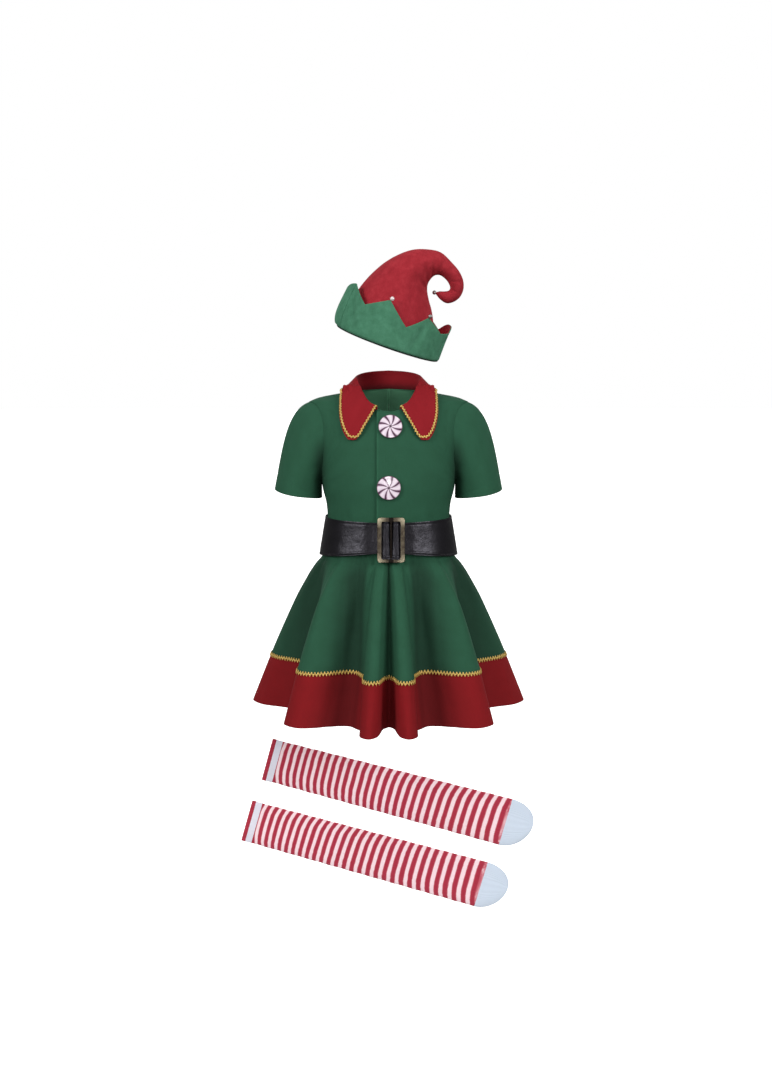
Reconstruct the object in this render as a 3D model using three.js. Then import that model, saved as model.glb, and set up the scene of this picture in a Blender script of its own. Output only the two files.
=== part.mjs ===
// Elf costume for a child of about 125 cm: hat, belted dress and a pair of stockings.
// Millimetres, +Z up, front towards -Y. The origin is the middle of the dress's neck opening.

import * as THREE from 'three';

// Driving dimensions

const clothWall = 1.6;          // dress fabric with its turned edges
const seamGap = 0.3;            // room kept between two sewn pieces
const trimWall = 1.2;           // gold braid
const trimWidth = 7;
const trimClear = 0.7;          // braid stands this far off the cloth that it is sewn to
const neckHalfWidth = 53;
const frontNeckDrop = 36.5;     // front neck edge below the neck-shoulder point
const backNeckRise = 2.3;
const neckShoulderHeight = 2;
const waistHeight = -245;
const seamLineHeight = -447.7;  // where the red band joins the green skirt
const hemHeight = -529.1;
const underarmHeight = -150;
const shoulderTipHeight = -17.5;
const armholeHalfDepth = 43;
const placketHalfWidth = 19;    // each front reaches this far past the middle
const placketLift = clothWall + 1;
const placketBlend = 50;        // the upper front lies down on the chest here

// Rings of the filled-out body part of the dress, from the neck down
const torsoRings = [
  { z: 8, half: 40, front: 6, back: 49, power: 2.0 },
  { z: 2, half: 53, front: 18, back: 53, power: 1.9 },
  { z: -3, half: 77, front: 27, back: 56, power: 1.6 },
  { z: -11, half: 116, front: 39, back: 61, power: 1.5 },
  { z: -18, half: 133.3, front: 47, back: 65, power: 1.6 },
  { z: -35, half: 131, front: 60.5, back: 70, power: 1.9 },
  { z: -60, half: 125.5, front: 70, back: 77, power: 2.2 },
  { z: -100, half: 118.5, front: 81, back: 83, power: 2.4 },
  { z: -160, half: 111, front: 88, back: 84, power: 2.4 },
  { z: -191, half: 104.2, front: 86.5, back: 80, power: 2.4 },
  { z: -211, half: 103, front: 86, back: 79, power: 2.3 },
  { z: -260, half: 110, front: 90.5, back: 84, power: 2.3 },
];

// Rows of a front or back panel: its outer edge (side seam, then armhole) and its middle edge
const sideHeights = [-245, -222, -203, -186, -168, -150, -142, -128, -110, -91, -71, -52, -35, -23, -17.5];
const middleHeights = [-245, -222, -198, -172, -146, -120, -95, -72, -50];
const underarmRow = 5;
const panelColumns = 9;

// Skirt folds, by the direction from the front: distance out at the hem and at the band's seam
const skirtFolds = [
  { azimuth: 0, hem: 178, seam: 176 },
  { azimuth: 2.6, hem: 179, seam: 178 },
  { azimuth: 4.4, hem: 222, seam: 203 },
  { azimuth: 7.7, hem: 236, seam: 209 },
  { azimuth: 11.4, hem: 228, seam: 201 },
  { azimuth: 14, hem: 194, seam: 170 },
  { azimuth: 19, hem: 192, seam: 163 },
  { azimuth: 26, hem: 197, seam: 164 },
  { azimuth: 34, hem: 210, seam: 176 },
  { azimuth: 41, hem: 222, seam: 190 },
  { azimuth: 47, hem: 227, seam: 198 },
  { azimuth: 53, hem: 210, seam: 188 },
  { azimuth: 60, hem: 174, seam: 164 },
  { azimuth: 66, hem: 166, seam: 158 },
  { azimuth: 74, hem: 186, seam: 170 },
  { azimuth: 82, hem: 220, seam: 192 },
  { azimuth: 90, hem: 234.5, seam: 202 },
  { azimuth: 98, hem: 224, seam: 195 },
  { azimuth: 107, hem: 186, seam: 168 },
  { azimuth: 115, hem: 178, seam: 163 },
  { azimuth: 124, hem: 206, seam: 180 },
  { azimuth: 132, hem: 222, seam: 193 },
  { azimuth: 140, hem: 206, seam: 180 },
  { azimuth: 149, hem: 180, seam: 163 },
  { azimuth: 158, hem: 184, seam: 166 },
  { azimuth: 168, hem: 214, seam: 185 },
  { azimuth: 180, hem: 222, seam: 192 },
];

// How far the skirt has opened, from the waist to the band's seam
const skirtFlare = [
  { down: 0, share: 0 },
  { down: 0.08, share: 0.02 },
  { down: 0.155, share: 0.05 },
  { down: 0.22, share: 0.165 },
  { down: 0.285, share: 0.262 },
  { down: 0.355, share: 0.35 },
  { down: 0.49, share: 0.51 },
  { down: 0.63, share: 0.652 },
  { down: 0.765, share: 0.783 },
  { down: 0.905, share: 0.915 },
  { down: 1, share: 1 },
];
const skirtHeights = [-245.3, -261, -277, -290, -310, -340, -375, -412, -447.55];
const bandRows = 3;

// Sleeve: where each run of cloth leaves the armhole and how it reaches the cuff
const cuff = { x: 155.3, z: -168.8, half: 37.2, depth: 46, tilt: 8.9, dip: 4, under: 3.6, underDip: 2.4 };
const sleeveRuns = [
  { side: -1, outX: 7, outZ: 7, upX: 0, upZ: 12 },
  { side: -0.75, outX: 13, outZ: 4, upX: -2, upZ: 18 },
  { side: 0, outX: 25, outZ: -14, upX: -8, upZ: 38 },
  { side: 1, outX: 40, outZ: -12, upX: -13.3, upZ: 68 },
];
const sleeveRows = 8;

// Collar sections from its front end round to the middle of the back
const collarWall = 2.2;
const collarClear = 2.0;        // room under the part that lies on the body
const collarRows = 9;
const collarStations = [
  { turn: 0, neck: 21, rise: 2.2, roll: 3, outX: 49, outY: -80, outZ: -70 },
  { turn: 1, neck: 27, rise: 2.6, roll: 3.6, outX: 56, outY: -80, outZ: -76 },
  { turn: 2, neck: 34, rise: 3.6, roll: 4.2, outX: 65, outY: -78, outZ: -76 },
  { turn: 3, neck: 44, rise: 6, roll: 5, outX: 73, outY: -68, outZ: -67 },
  { turn: 4, neck: 56, rise: 10, roll: 5.4, outX: 78, outY: -50, outZ: -44 },
  { turn: 5, neck: 72, rise: 14.5, roll: 5.8, outX: 79, outY: -25, outZ: -15 },
  { turn: 6, neck: 90, rise: 18.5, roll: 6, outX: 76.5, outY: 0, outZ: 0 },
  { turn: 7, neck: 112, rise: 22.5, roll: 6, outX: 73, outY: 28, outZ: -3 },
  { turn: 8, neck: 136, rise: 26, roll: 5.6, outX: 60, outY: 55, outZ: -6 },
  { turn: 9, neck: 158, rise: 27.5, roll: 5.2, outX: 36, outY: 70, outZ: -8 },
  { turn: 10, neck: 180, rise: 27.7, roll: 5, outX: 0, outY: 76, outZ: -9 },
];

const belt = {
  wall: 2.2, clear: 1.6, sideTop: -209, sideBottom: -273, frontTop: -211, frontBottom: -259,
  sideSlope: 0.166, frontSlope: 0.11, columns: 30, frontLift: 2.8,
};
const buckle = {
  x: 3.9, z: -238.5, width: 44.6, height: 73, bar: 7, centreBar: 3.2, thick: 4, corner: 5,
  rollHalf: 5.9, rollRise: 4.2, clear: 0.5,
};
const button = { radius: 19.5, thick: 4.2, edge: 1.2 };
const buttonPlaces = [
  { name: 'button_upper', x: 2.9, z: -57.8 },
  { name: 'button_lower', x: 0.3, z: -154.4 },
];

// Hat: rungs across the crown from its base to the curled tip, in the hat's own upright frame
const hat = { x: -1.6, z: 79.9, tilt: 19.4, pitch: 7.3, wall: 1.8 };
const crownRungs = [
  { outX: -88, outZ: 0, inX: 88, inZ: 0, depth: 79.5 },
  { outX: -79.6, outZ: 36.9, inX: 70.2, inZ: 36.7, depth: 71 },
  { outX: -71.9, outZ: 72.5, inX: 52, inZ: 72.5, depth: 60 },
  { outX: -55.8, outZ: 107.7, inX: 40.5, inZ: 89.1, depth: 49 },
  { outX: -37.8, outZ: 132.5, inX: 33, inZ: 102.9, depth: 40 },
  { outX: -12.1, outZ: 154.4, inX: 31.1, inZ: 112.1, depth: 32 },
  { outX: 12.9, outZ: 163.9, inX: 33.5, inZ: 122.8, depth: 26 },
  { outX: 33.8, outZ: 166.2, inX: 37.4, inZ: 128.6, depth: 21 },
  { outX: 55.4, outZ: 157.5, inX: 44.4, inZ: 131.4, depth: 16.5 },
  { outX: 72.2, outZ: 147.9, inX: 54, inZ: 129.3, depth: 14 },
  { outX: 83.4, outZ: 136.5, inX: 62.4, inZ: 124.2, depth: 12.5 },
  { outX: 88.8, outZ: 123, inX: 67.4, inZ: 118, depth: 11.5 },
  { outX: 87.6, outZ: 109, inX: 67, inZ: 113.6, depth: 10.5 },
  { outX: 80.4, outZ: 98.4, inX: 63.6, inZ: 111, depth: 9.8 },
  { outX: 70.3, outZ: 92.8, inX: 58.6, inZ: 108.9, depth: 8.6 },
  { outX: 58.5, outZ: 95.1, inX: 52.6, inZ: 106.8, depth: 6 },
  { outX: 50.4, outZ: 99.6, inX: 48.6, inZ: 104, depth: 2.6 },
];
const crownColumns = 11;

// Brim: seven points and the dips between them, height above the base and lean at the top
const brimBase = { half: 90.7, depth: 82.2 };
const brimTeeth = [
  { azimuth: -63.4, height: 78, lean: -3, curl: 0 },
  { azimuth: -37.7, height: 51, lean: -3, curl: 0 },
  { azimuth: -12, height: 72, lean: -9, curl: 0 },
  { azimuth: 13.7, height: 40, lean: -3, curl: 0 },
  { azimuth: 37.4, height: 65, lean: -8, curl: 0 },
  { azimuth: 59, height: 46, lean: -1, curl: 0 },
  { azimuth: 80, height: 49, lean: 1, curl: 1 },
  { azimuth: 98, height: 61, lean: 0, curl: 2 },
  { azimuth: 124, height: 45, lean: -2, curl: 0 },
  { azimuth: 146, height: 62, lean: -6, curl: 0 },
  { azimuth: 166, height: 42, lean: -3, curl: 0 },
  { azimuth: 188, height: 66, lean: -7, curl: 0 },
  { azimuth: 208, height: 43, lean: -3, curl: 0 },
  { azimuth: 228, height: 66, lean: -6, curl: 0 },
  { azimuth: 250, height: 46, lean: -1, curl: 0 },
  { azimuth: 271, height: 69, lean: 3, curl: 0 },
];
const brimBulge = 5;            // how far the brim swells at the wearer's right side
const bellRadius = 3.4;
const bellAside = 2;            // each front bell sits this far beside its point's tip

// Stockings laid flat: cuff middle, run of the leg, and half widths across it
const stockingThick = 4.6;
const stockings = [
  { name: 'stocking_upper', x: -211.4, z: -637, slope: -15.3, leg: 432, cuffHalf: 38, toeHalf: 43.5 },
  { name: 'stocking_lower', x: -248.8, z: -748.3, slope: -15.95, leg: 428, cuffHalf: 37.5, toeHalf: 42.6 },
];
const toeLength = 49;
const toeShift = 5;             // the toe's tip lies this far above the leg's middle line

// Finishes
const green = { color: 0x2e5c45, roughness: 0.85, metalness: 0 };
const brimGreen = { color: 0x3f7a5c, roughness: 0.95, metalness: 0 };
const collarRed = { color: 0x98212a, roughness: 0.85, metalness: 0 };
const bandRed = { color: 0x851a20, roughness: 0.85, metalness: 0 };
const hatRed = { color: 0xa72b34, roughness: 0.95, metalness: 0 };
const gold = { color: 0xd2a54e, roughness: 0.45, metalness: 0.3 };
const blackLeather = { color: 0x1b181b, roughness: 0.35, metalness: 0 };
const antiqueMetal = { color: 0x8b7e6e, roughness: 0.4, metalness: 1 };
const buttonPink = { color: 0xf3dde6, roughness: 0.3, metalness: 0 };
const silver = { color: 0xd8d4cc, roughness: 0.25, metalness: 1 };
const stockingKnit = { color: 0xd9808a, roughness: 0.9, metalness: 0 };

const costume = new THREE.Group();
const radians = THREE.MathUtils.degToRad;
const mix = THREE.MathUtils.lerp;

function vec(x, y, z) {
  return new THREE.Vector3(x, y, z);
}

function addMesh(parent, name, geometry, finish) {
  const mesh = new THREE.Mesh(geometry, new THREE.MeshStandardMaterial(finish));
  mesh.name = name;
  parent.add(mesh);
  return mesh;
}

// Smooth curve through a table's column, without overshoot
function readColumn(table, key, column, at) {
  const rising = table[1][key] > table[0][key] ? 1 : -1;
  let i = 0;
  while (i < table.length - 2 && (table[i + 1][key] - at) * rising < 0) i += 1;
  const step = (k) => table[k + 1][key] - table[k][key];
  const rate = (k) => (table[k + 1][column] - table[k][column]) / step(k);
  const tangent = (k) => {
    if (k === 0) return rate(0);
    if (k === table.length - 1) return rate(k - 1);
    const before = rate(k - 1);
    const after = rate(k);
    return before * after <= 0 ? 0 : (2 * before * after) / (before + after);
  };
  const width = step(i);
  const t = THREE.MathUtils.clamp((at - table[i][key]) / width, 0, 1);
  const a = table[i][column];
  const b = table[i + 1][column];
  const ease = t * t * (3 - 2 * t);
  return a + (b - a) * ease + width * (t * (1 - t) ** 2 * tangent(i) - t * t * (1 - t) * tangent(i + 1));
}

function readRow(table, key, at) {
  const row = {};
  for (const column of Object.keys(table[0])) row[column] = readColumn(table, key, column, at);
  return row;
}

// Directions square to a grid of points, in the sense of rows crossed with columns
function gridNormals(grid, wraps) {
  const rows = grid.length;
  const columns = grid[0].length;
  const at = (i, j) => {
    const row = grid[THREE.MathUtils.clamp(i, 0, rows - 1)];
    return wraps ? row[(j + columns) % columns] : row[THREE.MathUtils.clamp(j, 0, columns - 1)];
  };
  return grid.map((row, i) => row.map((point, j) => {
    const along = at(i + 1, j).clone().sub(at(i - 1, j));
    const across = at(i, j + 1).clone().sub(at(i, j - 1));
    return along.cross(across).normalize();
  }));
}

// A grid of points moved square to itself by a distance, or by a distance for each row
function moved(grid, distance, wraps = false) {
  const normals = gridNormals(grid, wraps);
  const amount = (i) => (Array.isArray(distance) ? distance[i] : distance);
  return grid.map((row, i) => row.map((p, j) => p.clone().addScaledVector(normals[i][j], amount(i))));
}

// A closed wall between an outer and an inner grid of points
function wallGeometry(outer, inner, wraps = false) {
  const rows = outer.length;
  const columns = outer[0].length;
  const positions = [...outer.flat(), ...inner.flat()].flatMap((p) => [p.x, p.y, p.z]);
  const out = (i, j) => i * columns + (j % columns);
  const inn = (i, j) => rows * columns + i * columns + (j % columns);
  const index = [];
  const quad = (a, b, c, d) => index.push(a, b, c, a, c, d);
  const steps = wraps ? columns : columns - 1;
  for (let j = 0; j < steps; j += 1) {
    for (let i = 0; i < rows - 1; i += 1) {
      quad(out(i, j), out(i + 1, j), out(i + 1, j + 1), out(i, j + 1));
      quad(inn(i, j), inn(i, j + 1), inn(i + 1, j + 1), inn(i + 1, j));
    }
    quad(out(0, j), out(0, j + 1), inn(0, j + 1), inn(0, j));
    quad(out(rows - 1, j), inn(rows - 1, j), inn(rows - 1, j + 1), out(rows - 1, j + 1));
  }
  for (let i = 0; i < rows - 1 && !wraps; i += 1) {
    quad(out(i, 0), inn(i, 0), inn(i + 1, 0), out(i + 1, 0));
    quad(out(i, columns - 1), out(i + 1, columns - 1), inn(i + 1, columns - 1), inn(i, columns - 1));
  }
  return facingOut(positions, index);
}

// A geometry whose faces point out of the solid, whichever way its grid ran
function facingOut(positions, index) {
  const p = (k) => vec(positions[3 * k], positions[3 * k + 1], positions[3 * k + 2]);
  let volume = 0;
  for (let k = 0; k < index.length; k += 3) {
    volume += p(index[k]).dot(p(index[k + 1]).cross(p(index[k + 2])));
  }
  if (volume < 0) index.reverse();
  const geometry = new THREE.BufferGeometry();
  geometry.setAttribute('position', new THREE.Float32BufferAttribute(positions, 3));
  geometry.setIndex(index);
  geometry.computeVertexNormals();
  return geometry;
}

// The body of the dress

function depthAt(x, z, facing) {
  const ring = readRow(torsoRings, 'z', z);
  const reach = facing < 0 ? ring.front : ring.back;
  const across = Math.min(Math.abs(x) / ring.half, 1);
  return facing * reach * (1 - across ** ring.power) ** (1 / ring.power);
}

function halfWidthAt(y, z, facing) {
  const ring = readRow(torsoRings, 'z', z);
  const reach = facing < 0 ? ring.front : ring.back;
  return ring.half * (1 - Math.min(Math.abs(y) / reach, 1) ** ring.power) ** (1 / ring.power);
}

function torsoLevel(p) {
  const ring = readRow(torsoRings, 'z', p.z);
  const reach = p.y < 0 ? ring.front : ring.back;
  return (Math.abs(p.x) / ring.half) ** ring.power + (Math.abs(p.y) / reach) ** ring.power - 1;
}

function torsoSlope(p) {
  const small = 0.05;
  const change = (d) => torsoLevel(p.clone().add(d)) - torsoLevel(p.clone().sub(d));
  return vec(change(vec(small, 0, 0)), change(vec(0, small, 0)), change(vec(0, 0, small)))
    .divideScalar(2 * small);
}

function torsoNormal(p) {
  return torsoSlope(p).normalize();
}

// Moves a point square to the body until it stands clear of it by a distance
function standClear(p, distance, onlyIfNearer = false) {
  const q = p.clone();
  for (let k = 0; k < 8; k += 1) {
    const slope = torsoSlope(q);
    const apart = torsoLevel(q) / slope.length();
    if (onlyIfNearer && apart > distance) return q;
    q.addScaledVector(slope.normalize(), distance - apart);
  }
  return q;
}

function neckPoint(azimuth, facing) {
  const a = radians(azimuth);
  const x = neckHalfWidth * Math.sin(a);
  const front = facing < 0;
  const z = front
    ? neckShoulderHeight - frontNeckDrop * Math.max(Math.cos(a), 0) ** 1.5
    : neckShoulderHeight + backNeckRise * (1 - Math.abs(Math.sin(a)));
  return vec(x, depthAt(x, z, facing), z);
}

function shoulderLine(x) {
  const ridge = torsoRings.slice(0, 5).map((ring) => ({ x: ring.half, z: ring.z }));
  return readColumn(ridge, 'x', 'z', Math.abs(x));
}

function armholePoint(z, facing) {
  const middle = (underarmHeight + shoulderTipHeight) / 2;
  const tall = (shoulderTipHeight - underarmHeight) / 2;
  const y = facing * armholeHalfDepth * Math.sqrt(Math.max(0, 1 - ((z - middle) / tall) ** 2));
  return vec(halfWidthAt(y, z, facing), y, z);
}

function sidePoint(row, facing) {
  const z = sideHeights[row];
  return row <= underarmRow ? vec(halfWidthAt(0, z, facing), 0, z) : armholePoint(z, facing);
}

// Outer points of one panel on the +X side, from its middle edge to its side edge
function panelGrid(facing, middleX) {
  const rows = sideHeights.length;
  const neckStart = middleHeights.length;
  const neckFrom = (Math.asin(middleX / neckHalfWidth) * 180) / Math.PI;
  const grid = [];
  for (let i = 0; i < rows; i += 1) {
    const side = sidePoint(i, facing);
    let start = vec(middleX, 0, middleHeights[i]);
    if (i >= neckStart) {
      const share = (i - neckStart) / (rows - 1 - neckStart);
      start = neckPoint(mix(neckFrom, 90, share), facing);
    }
    const lift = THREE.MathUtils.smoothstep(i, underarmRow, rows - 1);
    const startDrop = shoulderLine(start.x) - start.z;
    const sideDrop = shoulderLine(side.x) - side.z;
    const row = [];
    for (let j = 0; j <= panelColumns; j += 1) {
      const even = j / panelColumns;
      const share = mix(Math.sin((even * Math.PI) / 2), even, lift);
      const x = mix(start.x, side.x, share);
      const level = mix(start.z, side.z, share);
      const sloped = shoulderLine(x) - mix(startDrop, sideDrop, share);
      const z = mix(level, sloped, lift);
      row.push(j === panelColumns ? side : vec(x, depthAt(x, z, facing), z));
    }
    grid.push(row);
  }
  return grid;
}

function shaped(grid, outBy) {
  return grid.map((row) => row.map((p) => p.clone().addScaledVector(torsoNormal(p), outBy(p))));
}

function placketRise(x) {
  const settled = THREE.MathUtils.smoothstep(x, placketHalfWidth + 3, placketBlend);
  return placketLift * (1 - settled);
}

function mirrored(grid) {
  return grid.map((row) => row.map((p) => vec(-p.x, p.y, p.z)));
}

function shifted(grid, by) {
  return grid.map((row) => row.map((p) => p.clone().add(by)));
}

function addPanel(name, facing, side, middleX, rise) {
  let outer = shaped(panelGrid(facing, middleX), (p) => rise(p.x));
  let inner = shaped(panelGrid(facing, middleX), (p) => rise(p.x) - clothWall);
  if (side < 0) {
    outer = mirrored(outer);
    inner = mirrored(inner);
  }
  const apart = vec(middleX === 0 ? (side * seamGap) / 2 : 0, (facing * seamGap) / 2, 0);
  addMesh(costume, name, wallGeometry(shifted(outer, apart), shifted(inner, apart)), green);
}

const flat = () => 0;
addPanel('bodice_front_right', -1, -1, -placketHalfWidth, flat);
addPanel('bodice_front_left', -1, 1, -placketHalfWidth, placketRise);
addPanel('bodice_back_right', 1, -1, 0, flat);
addPanel('bodice_back_left', 1, 1, 0, flat);

// Sleeves: each run of cloth leaves the armhole, turns over the shoulder and hangs to the cuff

function armholeRing() {
  const heights = sideHeights.slice(underarmRow);
  const front = heights.map((z) => armholePoint(z, -1));
  const back = heights.map((z) => armholePoint(z, 1)).slice(1, -1).reverse();
  return [...front, ...back];
}

function sleeveGrids() {
  const ring = armholeRing();
  const count = ring.length;
  const middle = (underarmHeight + shoulderTipHeight) / 2;
  const tall = (shoulderTipHeight - underarmHeight) / 2;
  const outer = Array.from({ length: sleeveRows + 1 }, () => []);
  const firstInner = [];
  ring.forEach((p, j) => {
    const along = ring[(j + 1) % count].clone().sub(ring[(j + count - 1) % count]);
    const normal = torsoNormal(p);
    const away = along.cross(normal).normalize().multiplyScalar(seamGap + 0.1);
    if (away.x + away.z * 0.2 < 0) away.negate();
    const start = p.clone().add(away);
    firstInner.push(start.clone().addScaledVector(normal, -clothWall));
    const side = THREE.MathUtils.clamp((p.z - middle) / tall, -1, 1);
    const depth = Math.sign(p.y) * Math.sqrt(Math.max(0, 1 - side * side));
    const tilt = radians(cuff.tilt);
    const under = Math.max(-side, 0) ** 3;
    const end = vec(
      cuff.x + cuff.half * side * Math.cos(tilt) - cuff.under * under,
      cuff.depth * depth,
      cuff.z + cuff.half * side * Math.sin(tilt) - cuff.dip * Math.abs(depth) - cuff.underDip * under,
    );
    const run = readRow(sleeveRuns, 'side', side);
    const curve = new THREE.CubicBezierCurve3(
      start,
      start.clone().add(vec(run.outX, 6 * depth, run.outZ)),
      end.clone().add(vec(run.upX, 0, run.upZ)),
      end,
    );
    for (let i = 0; i <= sleeveRows; i += 1) outer[i].push(curve.getPoint(i / sleeveRows));
  });
  const inner = moved(outer, clothWall, true);
  inner[0] = firstInner;
  return { outer, inner };
}

const sleeve = sleeveGrids();
addMesh(costume, 'sleeve_left', wallGeometry(sleeve.outer, sleeve.inner, true), green);
addMesh(costume, 'sleeve_right', wallGeometry(mirrored(sleeve.outer), mirrored(sleeve.inner), true), green);

// Skirt and its red band

function waistDistance(azimuth, z) {
  const ring = readRow(torsoRings, 'z', z);
  const a = radians(azimuth);
  const reach = Math.cos(a) > 0 ? ring.front : ring.back;
  const level = (Math.abs(Math.sin(a)) / ring.half) ** ring.power
    + (Math.abs(Math.cos(a)) / reach) ** ring.power;
  return level ** (-1 / ring.power);
}

function skirtPoint(azimuth, z) {
  const fold = readRow(skirtFolds, 'azimuth', Math.abs(azimuth));
  const waist = waistDistance(azimuth, waistHeight);
  let distance;
  if (z > seamLineHeight) {
    const down = (waistHeight - z) / (waistHeight - seamLineHeight);
    distance = mix(waist, fold.seam, readColumn(skirtFlare, 'down', 'share', down));
  } else {
    distance = mix(fold.seam, fold.hem, (seamLineHeight - z) / (seamLineHeight - hemHeight));
  }
  const a = radians(azimuth);
  return vec(distance * Math.sin(a), -distance * Math.cos(a), z);
}

function skirtAzimuths(facing) {
  const half = skirtFolds.map((fold) => fold.azimuth);
  const all = [...half.slice(1).reverse().map((a) => -a), ...half];
  if (facing < 0) return all.filter((a) => Math.abs(a) <= 90);
  const right = half.filter((a) => a >= 90);
  return [...right, ...right.slice(0, -1).reverse().map((a) => 360 - a)];
}

function skirtGrid(facing, heights) {
  const signed = (a) => (a > 180 ? a - 360 : a);
  return heights.map((z) => skirtAzimuths(facing).map((a) => skirtPoint(signed(a), z)));
}

function heightsBetween(top, bottom, steps) {
  return Array.from({ length: steps + 1 }, (_, i) => mix(top, bottom, i / steps));
}

function outwardSign(grid) {
  const middle = Math.floor(grid[0].length / 2);
  const normal = gridNormals(grid, false)[1][middle];
  return Math.sign(normal.y * grid[1][middle].y);
}

function clothFrom(grid, out, wall) {
  const sign = outwardSign(grid);
  const outer = out === 0 ? grid : squared(grid, moved(grid, sign * out));
  return { outer, inner: squared(grid, moved(grid, sign * (out - wall))) };
}

// Keeps the edges of a moved grid in the planes of the seams that it is cut at
function squared(grid, copy) {
  const lastRow = grid.length - 1;
  const lastColumn = grid[0].length - 1;
  return copy.map((row, i) => row.map((p, j) => vec(
    p.x,
    j === 0 || j === lastColumn ? 0 : p.y,
    i === 0 || i === lastRow ? grid[i][j].z : p.z,
  )));
}

for (const [label, facing] of [['front', -1], ['back', 1]]) {
  const apart = vec(0, (facing * seamGap) / 2, 0);
  const place = (grids) => wallGeometry(shifted(grids.outer, apart), shifted(grids.inner, apart));
  const bandHeights = heightsBetween(seamLineHeight - seamGap / 2, hemHeight, bandRows);
  const trimHeights = heightsBetween(seamLineHeight + trimWidth / 2, seamLineHeight - trimWidth / 2, 2);
  const trim = clothFrom(skirtGrid(facing, trimHeights), trimClear + trimWall, trimWall);
  addMesh(costume, `skirt_${label}`, place(clothFrom(skirtGrid(facing, skirtHeights), 0, clothWall)), green);
  const band = place(clothFrom(skirtGrid(facing, bandHeights), 0, clothWall));
  addMesh(costume, `hem_band_${label}`, band, bandRed);
  addMesh(costume, `skirt_trim_${label}`, place(trim), gold);
}

// Collar: rises from the neck edge, rolls over and lies on the chest, shoulders and back

function collarSection(turn) {
  const s = readRow(collarStations, 'turn', turn);
  const facing = s.neck <= 90 ? -1 : 1;
  const neck = neckPoint(s.neck <= 90 ? s.neck : 180 - s.neck, facing);
  const normal = torsoNormal(neck);
  const outwards = vec(neck.x, neck.y, 0).normalize();
  const base = neck.clone().addScaledVector(normal, -0.2);
  const upness = THREE.MathUtils.smoothstep(s.neck, 20, 100);
  const up = vec(-outwards.x * 0.5 * (1 - upness), -outwards.y * 0.5 * (1 - upness), 1).normalize();
  const start = base.clone().addScaledVector(up, seamGap + 0.4).addScaledVector(outwards, -collarWall * 0.8);
  const inside = start.clone().addScaledVector(up, s.rise * 0.7);
  const top = start.clone().addScaledVector(up, s.rise + 1.6).addScaledVector(outwards, s.roll * 0.45);
  const over = start.clone().addScaledVector(up, s.rise * 0.86).addScaledVector(outwards, s.roll + 1.8);
  const chestLift = placketRise(Math.abs(s.outX) < placketBlend ? Math.abs(s.outX) : placketBlend);
  const clear = collarWall + collarClear;
  const edge = standClear(vec(s.outX, s.outY, s.outZ), clear + chestLift);
  const middle = over.clone().lerp(edge, 0.5);
  const lifted = clear + placketRise(Math.max(middle.x, 0));
  const points = [start, inside, top, over, standClear(middle, lifted, true), edge];
  return new THREE.CatmullRomCurve3(points, false, 'centripetal');
}

function collarPoint(turn, share) {
  const p = collarSection(Math.abs(turn)).getPoint(share);
  const lift = share > 0.5 ? collarWall + collarClear + placketRise(Math.max(p.x, 0)) : 0;
  const q = share > 0.5 ? standClear(p, lift, true) : p;
  return turn < 0 ? vec(-q.x, q.y, q.z) : q;
}

const lastTurn = collarStations.length - 1;

function collarTurns(from, steps) {
  const half = Array.from({ length: steps + 1 }, (_, k) => mix(from, lastTurn, k / steps));
  return [...half, ...half.slice(0, -1).reverse().map((turn) => -turn)];
}

const collarShares = Array.from({ length: collarRows + 1 }, (_, k) => k / collarRows);
const signedCollar = collarTurns(0.001, 14).map((turn) => (
  collarShares.map((share) => collarPoint(turn, share))
));
const collarInner = moved(signedCollar, collarWall);
addMesh(costume, 'collar', wallGeometry(signedCollar, collarInner), collarRed);

// Gold braid along the collar's edge, laid on the collar's own facets

function onCollar(u, v) {
  const i = Math.min(Math.floor(u), signedCollar.length - 2);
  const j = Math.min(Math.floor(v), collarRows - 1);
  const before = signedCollar[i][j].clone().lerp(signedCollar[i][j + 1], v - j);
  const after = signedCollar[i + 1][j].clone().lerp(signedCollar[i + 1][j + 1], v - j);
  return before.lerp(after, u - i);
}

// Grid place at a distance in from the front edge, or from the outer edge
function inFromEdge(pointAt, edgeAt, step, distance) {
  const edge = pointAt(edgeAt);
  let at = edgeAt;
  while (pointAt(at).distanceTo(edge) < distance && Math.abs(at - edgeAt) < 3) at += step;
  return at;
}

function collarBraid() {
  const fine = 0.02;
  const columns = signedCollar.length;
  const fromFront = (v, distance) => inFromEdge((u) => onCollar(u, v), 0, fine, distance);
  const fromRim = (u, distance) => inFromEdge((v) => onCollar(u, v), collarRows, -fine, distance);
  const frontRows = [5.2, 5.7, 6.2, 6.7, 7.2];
  const strip = (frontIn, rimIn) => {
    const corner = fromRim(1.4, rimIn);
    const front = [...frontRows, corner].map((v) => [fromFront(v, frontIn), v]);
    const rim = [];
    for (let u = 2; u <= (columns - 1) / 2; u += 1) rim.push([u, fromRim(u, rimIn)]);
    const half = [...front, ...rim];
    return [...half, ...half.slice(0, -1).reverse().map(([u, v]) => [columns - 1 - u, v])];
  };
  const lifted = (line, height) => line.map(([u, v]) => {
    const near = onCollar(Math.max(u - 0.3, 0), v);
    const far = onCollar(Math.min(u + 0.3, columns - 1), v);
    const low = onCollar(u, Math.max(v - 0.4, 0));
    const high = onCollar(u, Math.min(v + 0.4, collarRows));
    const normal = high.sub(low).cross(far.sub(near)).normalize();
    return onCollar(u, v).addScaledVector(normal, height);
  });
  const rimLine = strip(2.6, 0.4);
  const innerLine = strip(2.6 + trimWidth, 0.4 + trimWidth);
  const clearOfRows = 0.6;      // keeps it off the collar between the rows of points
  const heights = [trimClear + trimWall, trimClear].map((height) => height + clearOfRows);
  const [outer, inner] = heights.map((height) => [lifted(rimLine, height), lifted(innerLine, height)]);
  return wallGeometry(outer, inner);
}

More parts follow.
